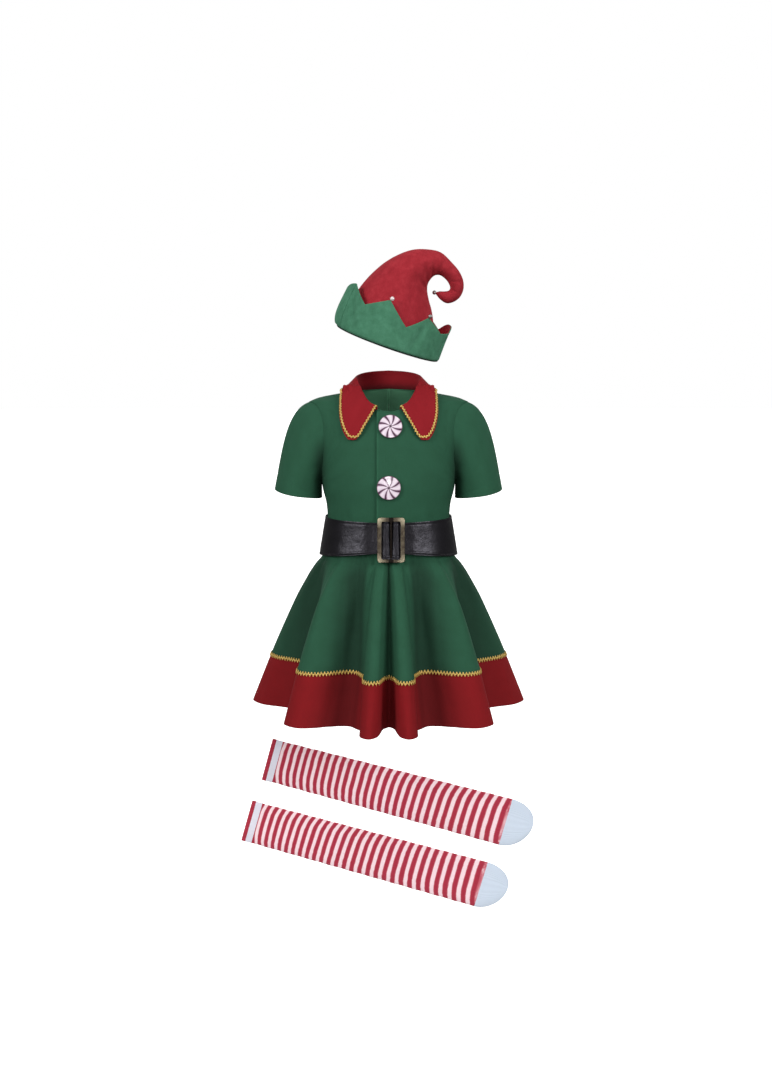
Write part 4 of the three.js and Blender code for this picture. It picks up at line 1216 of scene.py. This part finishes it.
def coated_leather():
    """Polyurethane on a knit backing, embossed with a fine grain: black, with a dull violet shine."""
    material, tree, shader = new_material("black imitation leather")
    on_cut = add_node(tree, "UVMap", uv_map="cut").outputs["UV"]
    # Embossed grain 1.5 mm across, drawn at 3 mm so that it shows
    embossed = {"Vector": on_cut, "Scale": 1 / 0.003}
    grain = add_node(tree, "TexVoronoi", embossed, feature="DISTANCE_TO_EDGE")
    # Soft dents of 22 mm from wear, which also dull the shine in patches
    wear = add_node(tree, "TexNoise", {"Vector": on_cut, "Scale": 1 / 0.022, "Detail": 4.0}).outputs["Fac"]
    dents = add_node(tree, "Bump", {"Height": wear, "Strength": 0.5, "Distance": 0.0025})
    raised = {"Height": grain.outputs["Distance"], "Strength": 0.25, "Distance": 0.0004}
    relief = add_node(tree, "Bump", {**raised, "Normal": dents.outputs["Normal"]})
    tones = {"Factor": wear, "A": linear("#0A090B"), "B": linear("#131115")}
    colours = add_node(tree, "Mix", tones, data_type="RGBA")
    dullness = add_node(tree, "MapRange", {"Value": wear, "To Min": 0.26, "To Max": 0.42})
    finish = {
        "Base Color": colours.outputs["Result"],
        "Roughness": dullness.outputs["Result"],
        "Normal": relief.outputs["Normal"],
        "Specular IOR Level": 0.32,
        "Specular Tint": linear("#F0EDFB"),
    }
    set_inputs(tree, shader, finish)
    return material


black_leather = coated_leather()
belt_cut = (690, 66)


def belt_place(u, v):
    """Columns are closer together at the front, where the strap goes through the buckle."""
    azimuth = 360 * (u - 0.5)
    azimuth -= front_crowding * math.sin(math.radians(azimuth))
    return belt_point(azimuth, v)


def belt_swell(s, t, p):
    """The strap hollows towards its lower edge, which turns out in a narrow lip, and a pressed line
    runs along both edges."""
    from_edge = min(t, belt_cut[1] - t)
    in_front = smooth(-p.y, lip["front_from"], lip["front_full"])
    hollow = strap_hollow * (t / belt_cut[1]) ** 3
    turned_out = lip["rise"] * smooth(t, belt_cut[1] - lip["from"], belt_cut[1] - lip["to"])
    from_line = (from_edge - pressed_line["from_edge"]) / pressed_line["wide"]
    return (hollow + turned_out) * in_front - pressed_line["depth"] * math.exp(-(from_line**2))


strap = cloth_piece(
    "belt",
    (360, 40),
    belt_cut,
    belt_place,
    wall=belt["wall"],
    centre=(0, 0, -240),
    wraps=True,
    rise=belt_swell,
)
make_real(strap, "belt", "belt_leather", black_leather)

# Buckle: cast zinc in one piece, a rounded frame with a middle bar, plated and antiqued so that
# its corners are worn bright.


def antiqued_metal():
    """Plated zinc, darkened and then rubbed: grey-brown, with bright edges and corners."""
    material, tree, shader = new_material("antiqued plated zinc")
    place = add_node(tree, "TexCoord").outputs["Object"]
    middle = {"Vector": place, "Location": (-buckle["x"] * mm, 0, -buckle["z"] * mm)}
    centred = add_node(tree, "Mapping", middle)
    reach = add_node(tree, "VectorMath", {0: centred.outputs["Vector"]}, operation="ABSOLUTE")
    split = add_node(tree, "SeparateXYZ", {"Vector": reach.outputs["Vector"]})
    # The rubbing grows from inside the frame to its corners
    to_side = {"Value": split.outputs["X"], "From Min": 0.008, "From Max": 0.0223}
    to_end = {"Value": split.outputs["Z"], "From Min": 0.02, "From Max": 0.0365}
    across = add_node(tree, "MapRange", to_side)
    along = add_node(tree, "MapRange", to_end)
    both = {0: across.outputs["Result"], 1: along.outputs["Result"]}
    corner = add_node(tree, "Math", both, operation="MULTIPLY")
    tarnish = add_node(tree, "TexNoise", {"Vector": place, "Scale": 1 / 0.006, "Detail": 5.0})
    rubbed = {0: tarnish.outputs["Fac"], 1: 0.45, 2: corner.outputs[0]}
    worn = add_node(tree, "Math", rubbed, operation="MULTIPLY_ADD")
    shade = add_node(tree, "ValToRGB", {"Fac": worn.outputs[0]})
    set_ramp(shade.color_ramp, ((0.15, "#3B342C"), (0.95, "#A0967F")))
    # The middle bar is coloured near black
    past_bar = {0: split.outputs["X"], 1: 0.004}
    off_middle = add_node(tree, "Math", past_bar, operation="GREATER_THAN")
    tones = {"Factor": off_middle.outputs[0], "A": linear("#1C1815"), "B": shade.outputs["Color"]}
    colours = add_node(tree, "Mix", tones, data_type="RGBA")
    finish = {"Base Color": colours.outputs["Result"], "Metallic": 1.0, "Roughness": 0.4}
    set_inputs(tree, shader, finish)
    return material


def rounded_loop(bm, middle_x, half_width, half_height, radius):
    """A closed ring of edges: a rectangle in XY with round corners."""
    points = []
    for corner_x, corner_y, start in ((1, 1, 0), (-1, 1, 90), (-1, -1, 180), (1, -1, 270)):
        for step in range(7):
            a = math.radians(start + 15 * step)
            x = middle_x + corner_x * (half_width - radius) + radius * math.cos(a)
            y = corner_y * (half_height - radius) + radius * math.sin(a)
            points.append(bm.verts.new((x * mm, y * mm, 0)))
    return [bm.edges.new(pair) for pair in zip(points, points[1:] + points[:1])]


def buckle_plate():
    """The flat outline of the frame with its two windows, lying in XY about the origin."""
    bm = bmesh.new()
    half_width, half_height = buckle["width"] / 2, buckle["height"] / 2
    window = (half_width - buckle["bar"] - buckle["centre_bar"] / 2) / 2
    edges = rounded_loop(bm, 0, half_width, half_height, buckle["corner"])
    for side in (-1, 1):
        middle_x = side * (buckle["centre_bar"] / 2 + window)
        edges += rounded_loop(bm, middle_x, window, half_height - buckle["bar"], buckle["window_corner"])
    bmesh.ops.triangle_fill(bm, use_beauty=True, use_dissolve=True, edges=edges, normal=(0, 0, 1))
    return bm


buckle_bm = buckle_plate()
tilt = math.atan(belt["front_slope"])
behind = belt_point(math.degrees(math.atan2(buckle["x"], -depth_at(0, belt["front_top"], -1))), 0.5)
seat_y = behind.y - buckle["clear"] - (behind.z - buckle["z"]) * belt["front_slope"]
buckle_seat = Vector((buckle["x"], seat_y, buckle["z"]))
buckle_bm.transform(
    Matrix.Translation(buckle_seat * mm)
    @ Matrix.Rotation(math.pi / 2 - tilt, 4, "X")
    @ Matrix.Translation((0, 0, buckle["thick"] * mm))
)
buckle_frame = link_mesh("buckle", buckle_bm)
casting = buckle_frame.modifiers.new("casting", "SOLIDIFY")
casting.thickness = buckle["thick"] * mm
casting.offset = -1
rounding = buckle_frame.modifiers.new("rounding", "BEVEL")
rounding.width = buckle["rounding"] * mm
rounding.segments = 4
rounding.limit_method = "ANGLE"
make_real(buckle_frame, "buckle", "buckle_metal", antiqued_metal())

# Hat crown: two curved halves of pressed felt, seamed along the top and under the bend, and rolled
# in to a hooked tip. It tilts to the wearer's left, with soft creases where it bends.

hat = {"x": -1.6, "z": 79.9, "tilt": 19.4, "pitch": 7.3}
hat_frame = (
    Matrix.Translation((hat["x"], 0, hat["z"]))
    @ Matrix.Rotation(math.radians(hat["tilt"]), 4, "Y")
    @ Matrix.Rotation(math.radians(hat["pitch"]), 4, "X")
)
crown_rungs = table(
    "out_x out_z in_x in_z depth",
    (-88, 0, 88, 0, 79.5),
    (-79.6, 36.9, 70.2, 36.7, 71),
    (-71.9, 72.5, 52, 72.5, 60),
    (-55.8, 107.7, 40.5, 89.1, 49),
    (-37.8, 132.5, 33, 102.9, 40),
    (-12.1, 154.4, 31.1, 112.1, 32),
    (12.9, 163.9, 33.5, 122.8, 26),
    (33.8, 166.2, 37.4, 128.6, 21),
    (55.4, 157.5, 44.4, 131.4, 16.5),
    (72.2, 147.9, 54, 129.3, 14),
    (83.4, 136.5, 62.4, 124.2, 12.5),
    (88.8, 123, 67.4, 118, 11.5),
    (87.6, 109, 67, 113.6, 10.5),
    (80.4, 98.4, 63.6, 111, 9.8),
    (70.3, 92.8, 58.6, 108.9, 8.6),
    (58.5, 95.1, 52.6, 106.8, 6),
    (50.4, 99.6, 48.6, 104, 2.6),
)
crown_cut = (250, 330)
crown_wall = 1.1
tip_from = 0.985
tip_reach = Vector((-1.9, 0, 1.2))
crown_fade = {"from": 240, "gone": 300}
crown_roll = {"gone": 20, "full": 90}
back_crease_shift = 14


def felt(name, colour, deep_colour, light_colour, sheen):
    """Pressed polyester felt: matted fibres, cloudy at 12 mm, with a light bloom on turning edges."""
    material, tree, shader = new_material(name)
    place = add_node(tree, "TexCoord").outputs["Object"]
    cloudy = {"Vector": place, "Scale": 1 / 0.012, "Detail": 4.0, "Roughness": 0.6}
    clouds = add_node(tree, "TexNoise", cloudy)
    matted = {"Vector": place, "Scale": 1 / 0.0012, "Detail": 3.0, "Roughness": 0.7}
    fibres = add_node(tree, "TexNoise", matted)
    both = {0: fibres.outputs["Fac"], 1: 0.4, 2: clouds.outputs["Fac"]}
    shade = add_node(tree, "Math", both, operation="MULTIPLY_ADD")
    colours = add_node(tree, "ValToRGB", {"Fac": shade.outputs[0]})
    set_ramp(colours.color_ramp, ((0.45, deep_colour), (0.7, colour), (0.95, light_colour)))
    relief = add_node(tree, "Bump", {"Height": shade.outputs[0], "Strength": 0.5, "Distance": 0.0007})
    finish = {
        "Base Color": colours.outputs["Color"],
        "Normal": relief.outputs["Normal"],
        "Roughness": 0.95,
        "Specular IOR Level": 0.2,
        "Sheen Weight": sheen,
        "Sheen Roughness": 0.5,
        "Sheen Tint": linear(light_colour),
    }
    set_inputs(tree, shader, finish)
    return material


red_felt = felt("red pressed felt", "#9E2731", "#92222B", "#AB313A", 0.2)

# Soft creases of the crown: across it where it bends, and two long ones down to the brim
crown_creases = table(
    "s1 t1 s2 t2 wide depth",
    (150, 92, 236, 84, 8, 3.0),
    (120, 116, 240, 100, 6, 2.2),
    (90, 138, 232, 122, 6, 1.8),
    (60, 156, 190, 150, 5, 1.2),
    (128, 70, 214, 64, 7, 1.6),
    (40, 120, 110, 78, 8, 1.3),
    (20, 176, 120, 172, 5, 1.0),
    (60, 206, 180, 200, 5, 0.9),
    (70, 236, 190, 232, 5, 0.7),
    (96, 262, 190, 262, 4, 0.5),
    (150, 66, 176, 26, 8, 1.2),
    (92, 60, 84, 20, 10, 0.9),
)


def crown_point(facing, u, v):
    """u goes from the outer seam round to the inner one, v from the base to the curled tip."""
    curve_at = min(v / tip_from, 1)
    outer = smooth_curve([Vector((r["out_x"], 0, r["out_z"])) for r in crown_rungs], curve_at)
    inner = smooth_curve([Vector((r["in_x"], 0, r["in_z"])) for r in crown_rungs], curve_at)
    depth = between([r["depth"] for r in crown_rungs], curve_at * (len(crown_rungs) - 1))
    beyond = clamp((v - tip_from) / (1 - tip_from), 0, 1)
    middle = (outer + inner) / 2
    shrink = math.sqrt(1 - beyond**2)
    share = (1 - math.cos(u * math.pi)) / 2
    p = middle + (outer.lerp(inner, share) - middle) * shrink + tip_reach * beyond
    p.y = facing * (depth * math.sin(u * math.pi) * shrink + seam_gap / 2)
    return hat_frame @ p


for label, facing in (("front", -1), ("back", 1)):

    def crown_place(u, v):
        return crown_point(facing, u, v)

    def crown_rise(s, t, p):
        fade = smooth(t, crown_fade["gone"], crown_fade["from"]) if t > crown_fade["from"] else 1
        to_tip = smooth(crown_cut[1] - t, crown_roll["gone"], crown_roll["full"])
        roll = seam_roll(min(s, crown_cut[0] - s)) * to_tip
        shift = 0 if facing < 0 else back_crease_shift
        return roll - crease_depth(crown_creases, s + shift, t - shift) * fade

    crown = cloth_piece(
        f"hat_crown_{label}",
        (64, 150),
        crown_cut,
        crown_place,
        wall=crown_wall,
        centre=hat_frame @ Vector((0, 0, 60)),
        rise=crown_rise,
    )
    make_real(crown, f"hat_crown_{label}", "hat_felt", red_felt)

# Brim: a turned-up cuff of green felt, cut to a zigzag at the top and lined with red felt inside.
# It is sewn to the crown along the base, with a dark ring inside the seam that is painted shade, standing
# for the shadow under the brim's edge.

brim_base = {"half": 90.7, "depth": 82.2}
brim_teeth = table(
    "azimuth height lean curl round",
    (-63.4, 76, -3, 0, 0),
    (-37.7, 51, -3, 0, 0),
    (-12, 72, -9, 0, 0),
    (13.7, 40, -3, 0, 0),
    (37.4, 65, -8, 0, 0),
    (59, 46, -1, 0, 0),
    (80, 49, 1, 1, 3),
    (98, 60, 0, 2, 6),
    (124, 45, -2, 0, 0),
    (146, 62, -6, 0, 0),
    (166, 42, -3, 0, 0),
    (188, 66, -7, 0, 0),
    (208, 43, -3, 0, 0),
    (228, 66, -6, 0, 0),
    (250, 46, -1, 0, 2),
    (271, 62, 2, 0, 2),
)
brim_cut = (548, 76)
brim_wall = 1.8
brim_bulge = {"s": 512, "wide": 36, "tall": 78, "out": 6.8}
base_turn = {"in": 2.6, "tall": 5}
dent_share = 2.4
ripple = {"out": 0.6, "long": 21}
shade_line_ring = {"in": 3.4, "up": 0.2, "half": 1.7, "half_tall": 1.9, "steps": 144, "corners": 10}
brim_green = felt("green pressed felt", "#477E62", "#3E7358", "#518A6E", 0.25)
brim_lining = felt("red felt lining", "#B5313D", "#A62B36", "#C03A46", 0.15)


def brim_point(tooth_at, share):
    """tooth_at counts points and dips all round, share runs from the base to the zigzag."""
    i = int(tooth_at) % len(brim_teeth)
    along = tooth_at - int(tooth_at)
    one, two = brim_teeth[i], brim_teeth[(i + 1) % len(brim_teeth)]
    until = two["azimuth"] + (360 if two["azimuth"] < one["azimuth"] else 0)
    a = math.radians(mix(one["azimuth"], until, along))
    height, lean, curl = (mix(one[key], two[key], along) for key in ("height", "lean", "curl"))
    curled = curl * share**4
    out = lean * share**2 + curled
    up = height * share - curled * 0.25
    # Some points have round shoulders beside them
    up += one["round"] * math.sin(math.pi * along) * share
    x = (brim_base["half"] + out) * math.sin(a)
    y = -(brim_base["depth"] + out) * math.cos(a)
    return Vector((x, y, up))


def brim_place(u, v):
    tooth_at = u * len(brim_teeth)
    return hat_frame @ brim_point(min(tooth_at, len(brim_teeth) - 1e-6), v)


brim_creases = table(
    "s1 t1 s2 t2 wide depth",
    (7, 66, 26, 18, 6, 1.1),
    (54, 58, 44, 22, 7, 0.9),
    (84, 60, 103, 24, 6, 1.0),
    (131, 62, 121, 14, 7, 1.2),
    (154, 50, 172, 20, 5, 0.8),
    (203, 60, 189, 24, 7, 1.0),
    (234, 54, 250, 18, 6, 0.9),
    (289, 60, 278, 22, 7, 1.0),
    (326, 58, 340, 20, 6, 0.8),
    (376, 60, 366, 20, 7, 1.0),
    (425, 62, 438, 22, 6, 0.9),
    (464, 60, 455, 28, 6, 0.7),
)


def brim_rise(s, t, p):
    """The felt turns in at the base and bulges at the wearer's right side, with shallow dents."""
    from_right = min(abs(s - brim_bulge["s"]), abs(s + brim_cut[0] - brim_bulge["s"]))
    bulge = brim_bulge["out"] * math.exp(-((from_right / brim_bulge["wide"]) ** 2))
    bulge *= math.sin(math.pi * min(t / brim_bulge["tall"], 1) ** 0.6)
    turned_in = base_turn["in"] * (1 - math.sqrt(1 - (1 - min(t / base_turn["tall"], 1)) ** 2))
    dents = dent_share * crease_depth(brim_creases, s, t)
    return bulge - turned_in - dents + ripple["out"] * math.sin(s / ripple["long"])


brim = cloth_piece(
    "hat_brim",
    (len(brim_teeth) * 16, 26),
    brim_cut,
    brim_place,
    wall=brim_wall,
    centre=hat_frame @ Vector((0, 0, 30)),
    wraps=True,
    rise=brim_rise,
)
brim.modifiers["wall"].material_offset = 1
make_real(brim, "hat_brim", "brim_felt", brim_green, brim_lining)

# Painted shade: a dark ring inside the base stands for the shadow line under the felt
shade_line_bm = bmesh.new()
shade_line_steps, shade_line_corners = shade_line_ring["steps"], shade_line_ring["corners"]
rings = []
for step in range(shade_line_steps):
    ring_place = brim_point(step / shade_line_steps * len(brim_teeth), 0)
    inward = Vector((-ring_place.x, -ring_place.y, 0)).normalized()
    ring_centre = ring_place + inward * shade_line_ring["in"] + Vector((0, 0, shade_line_ring["up"]))
    ring = []
    for corner in range(shade_line_corners):
        a = 2 * math.pi * corner / shade_line_corners
        aside = inward * (math.cos(a) * shade_line_ring["half"])
        spot = ring_centre + aside + Vector((0, 0, math.sin(a) * shade_line_ring["half_tall"]))
        ring.append(shade_line_bm.verts.new((hat_frame @ spot) * mm))
    rings.append(ring)
for one, two in zip(rings, rings[1:] + rings[:1]):
    for k, follower in enumerate([*range(1, shade_line_corners), 0]):
        shade_line_bm.faces.new((one[k], one[follower], two[follower], two[k])).smooth = True
bmesh.ops.recalc_face_normals(shade_line_bm, faces=shade_line_bm.faces)
shade_line = link_mesh("hat_painted_shade_line", shade_line_bm)
shade_line.data.materials.append(felt("dark green painted shade line", "#17251E", "#101A15", "#203229", 0.1))
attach(shade_line, "root")

# Bells: one is sewn to each of two front points and one to the hooked tip. They are closed balls
# of 7 mm, pressed from tin plate. The first is lacquered like a pearl, the others are silvered.

bell_radius = 3.4
bell_aside = 2
bell_sunk = 0.9
tip_gap = 0.5
tip_up = 0.6
bell_arc = [math.radians(a) for a in range(-80, 81, 10)]
bell_profile = [(bell_radius * math.cos(a), bell_radius * math.sin(a)) for a in bell_arc]
bell_profile = [(0, -bell_radius), *bell_profile, (0, bell_radius)]


def bell_coat(name, colour, metallic, roughness):
    """Lacquered tin plate, smooth, with a fine speckle of wear."""
    material, tree, shader = new_material(name)
    place = add_node(tree, "TexCoord").outputs["Object"]
    speckle = add_node(tree, "TexNoise", {"Vector": place, "Scale": 1 / 0.0015, "Detail": 3.0})
    wear = {"Value": speckle.outputs["Fac"], "To Min": roughness - 0.06, "To Max": roughness + 0.1}
    dullness = add_node(tree, "MapRange", wear).outputs["Result"]
    set_inputs(
        tree, shader, {"Base Color": linear(colour), "Metallic": metallic, "Roughness": dullness}
    )
    return material


pearl = bell_coat("pearl lacquered tin", "#F1E6E6", 0.15, 0.22)
tin = bell_coat("silvered tin", "#A9A29E", 1.0, 0.42)
tip_rung = crown_rungs[-1]
tip_x = (tip_rung["out_x"] + tip_rung["in_x"]) / 2
tip_z = (tip_rung["out_z"] + tip_rung["in_z"]) / 2
bell_up = bell_radius - bell_sunk
for name, at, coat in (
    ("hat_bell_1", brim_point(2, 1) + Vector((bell_aside, 0, bell_up)), pearl),
    ("hat_bell_2", brim_point(4, 1) + Vector((bell_aside / 2, 0, bell_up)), tin),
    ("hat_bell_tip", Vector((tip_x - bell_radius - tip_gap, 0, tip_z + tip_up)), tin),
):
    bm = lathe(bell_profile, sides=32)
    bm.transform(Matrix.Translation((hat_frame @ at) * mm))
    make_real(link_mesh(name, bm), name, "bell_metal", coat)

# Stockings: knitted in red and white rounds with a plain pale toe, and laid flat with the two layers
# pressed together. The knit is stretched a little towards the toe, so the stripes grow wider.

stockings = table(
    "name x z slope leg cuff_half toe_half red slant",
    ("stocking_upper", -211.4, -637, -15.3, 432, 38, 43.5, 29.5, 0.4),
    ("stocking_lower", -248.8, -748.3, -15.95, 428, 37.5, 42.6, 28.5, 2.6),
)
stocking_thick = 4.6
toe_length = 49
toe_shift = 5
stocking_wall = 1.0
cuff_edge = 7
cuff_band = 18
cuff_pitch = 11.5
toe_pitch = 16.5
# Bow of the stripes over the leg, and how far its two sides drift up and down along it
stripe_bow = 4.6
stripe_drift = {"reach": 3.5, "long": 75}
pucker = {"out": 0.28, "long": 6.1, "shift": 0.9, "round": 13, "toe_from": 40}
cuff_frill = {"out": 0.7, "long": 4.3, "from": 4}
thinnest = 0.25
stripe_colours = (
    (0.0, "#FFE2E7"),
    (0.05, "#CC6272"),
    (0.12, "#AE2D42"),
    (0.5, "#AE2D42"),
    (0.57, "#CC6272"),
    (0.63, "#FFE2E7"),
    (1.0, "#FFE2E7"),
)


def stocking_point(sock, u, v):
    """u goes round the flattened tube from its upper fold, v from the cuff to the toe's tip."""
    whole = sock["leg"] + toe_length
    along = v * whole
    half = mix(sock["cuff_half"], sock["toe_half"], min(along / sock["leg"], 1))
    thick, shift = stocking_thick / 2, 0
    if along > sock["leg"]:
        # Rows crowd towards the tip so that its end is round
        s = math.sin((along - sock["leg"]) / toe_length * math.pi / 2)
        round_off = math.sqrt(max(1 - s * s, 0))
        along = sock["leg"] + s * toe_length
        half = sock["toe_half"] * round_off
        thick = max(thick * math.sqrt(round_off), thinnest)
        shift = toe_shift * s * s
    a = 2 * math.pi * u
    c, s = math.cos(a), math.sin(a)
    w = math.copysign(abs(c) ** 0.5, c) * half + shift
    y = math.copysign(abs(s) ** 0.8, s) * thick
    slope = math.radians(sock["slope"])
    x = sock["x"] + along * math.cos(slope) - w * math.sin(slope)
    z = sock["z"] + along * math.sin(slope) + w * math.cos(slope)
    return Vector((x, y, z))


def striped_knit(sock):
    """Plain-knit cotton and elastane in bowed stripes: pale cuff band with a red edge, red and white
    rounds, and an icy pale toe."""
    material, tree, shader = new_material(f"striped stocking knit {sock['name'][9:]}")
    on_cut = add_node(tree, "UVMap", uv_map="cut").outputs["UV"]
    stripes = add_node(tree, "UVMap", uv_map="stripes")
    at_stripe = add_node(tree, "SeparateXYZ", {"Vector": stripes.outputs["UV"]})
    wobble = add_node(tree, "TexNoise", {"Vector": on_cut, "Scale": 1 / 0.009, "Detail": 2.0})
    wavy = {0: wobble.outputs["Fac"], 1: 0.16, 2: at_stripe.outputs["X"]}
    uneven = add_node(tree, "Math", wavy, operation="MULTIPLY_ADD")
    phase = add_node(tree, "Math", {0: uneven.outputs[0]}, operation="FRACT")
    bands = add_node(tree, "ValToRGB", {"Fac": phase.outputs[0]})
    set_ramp(bands.color_ramp, stripe_colours)
    # The second coordinate is 1 over the striped leg, 2 over the toe and 0 over the pale cuff band
    on_leg = add_node(tree, "Math", {0: at_stripe.outputs["Y"], 1: 1.0, 2: 0.5}, operation="COMPARE")
    on_toe = add_node(tree, "Math", {0: at_stripe.outputs["Y"], 1: 1.5}, operation="GREATER_THAN")
    plain = {"Factor": on_toe.outputs[0], "A": linear("#E6E4F0"), "B": linear("#D3DFEE")}
    pale = add_node(tree, "Mix", plain, data_type="RGBA")
    striped = {"Factor": on_leg.outputs[0], "A": pale.outputs["Result"], "B": bands.outputs["Color"]}
    colours = add_node(tree, "Mix", striped, data_type="RGBA")
    # Stitch wales 1.2 mm apart, drawn at 2.4 mm so that they show
    ribbed = {"Vector": on_cut, "Scale": math.pi / 10 / 0.0024, "Distortion": 1.5}
    wales = add_node(tree, "TexWave", ribbed, bands_direction="X")
    relief = add_node(tree, "Bump", {"Height": wales.outputs["Fac"], "Strength": 0.4, "Distance": 0.0006})
    finish = {
        "Base Color": colours.outputs["Result"],
        "Normal": relief.outputs["Normal"],
        "Roughness": 0.85,
        "Specular IOR Level": 0.25,
        "Sheen Weight": 0.2,
    }
    set_inputs(tree, shader, finish)
    return material


for sock in stockings:
    sock_cut = (2 * (sock["cuff_half"] + sock["toe_half"]), sock["leg"] + toe_length)

    def sock_place(u, v):
        return stocking_point(sock, u, v)

    def sock_rise(s, t, p):
        """The knit puckers between the rounds of its stripes and frills at the cuff's edge."""
        bent = t / pucker["long"] + pucker["shift"] * math.sin(s / pucker["round"])
        puckers = pucker["out"] * math.sin(bent) * smooth(sock["leg"] - t, 0, pucker["toe_from"])
        to_edge = 1 - smooth(t, cuff_frill["from"], cuff_band)
        return puckers + cuff_frill["out"] * math.sin(s / cuff_frill["long"]) * to_edge

    stocking = cloth_piece(
        sock["name"],
        (72, 300),
        sock_cut,
        sock_place,
        wall=stocking_wall,
        centre=stocking_point(sock, 0, 0.4) + Vector((0, 0, -sock["cuff_half"])),
        wraps=True,
        rise=sock_rise,
    )
    cut_layer = stocking.data.uv_layers["cut"]
    stripe_layer = stocking.data.uv_layers.new(name="stripes")
    for corner, spot in zip(stripe_layer.uv, cut_layer.uv):
        t = spot.vector.y / mm
        a = spot.vector.x / mm / sock_cut[0] * 2 * math.pi
        across = math.cos(a)
        drift = stripe_drift["reach"] * across * math.sin(t / stripe_drift["long"] + sock["slant"])
        bow = stripe_bow * (1 - abs(across) ** 1.6) + drift
        run = clamp((t + bow - cuff_band) / (sock["leg"] - cuff_band), 0, 1)
        ease = (toe_pitch - cuff_pitch) / (toe_pitch + cuff_pitch)
        turns = sock["red"] * (run * (1 + ease) - ease * run**2)
        kind = 1
        if t < cuff_band:
            kind = 0 if t > cuff_edge else 1
            turns = 0.2
        if t > sock["leg"]:
            kind = 2
        corner.vector = (turns, kind)
    make_real(stocking, sock["name"], "stocking_knit", striped_knit(sock))
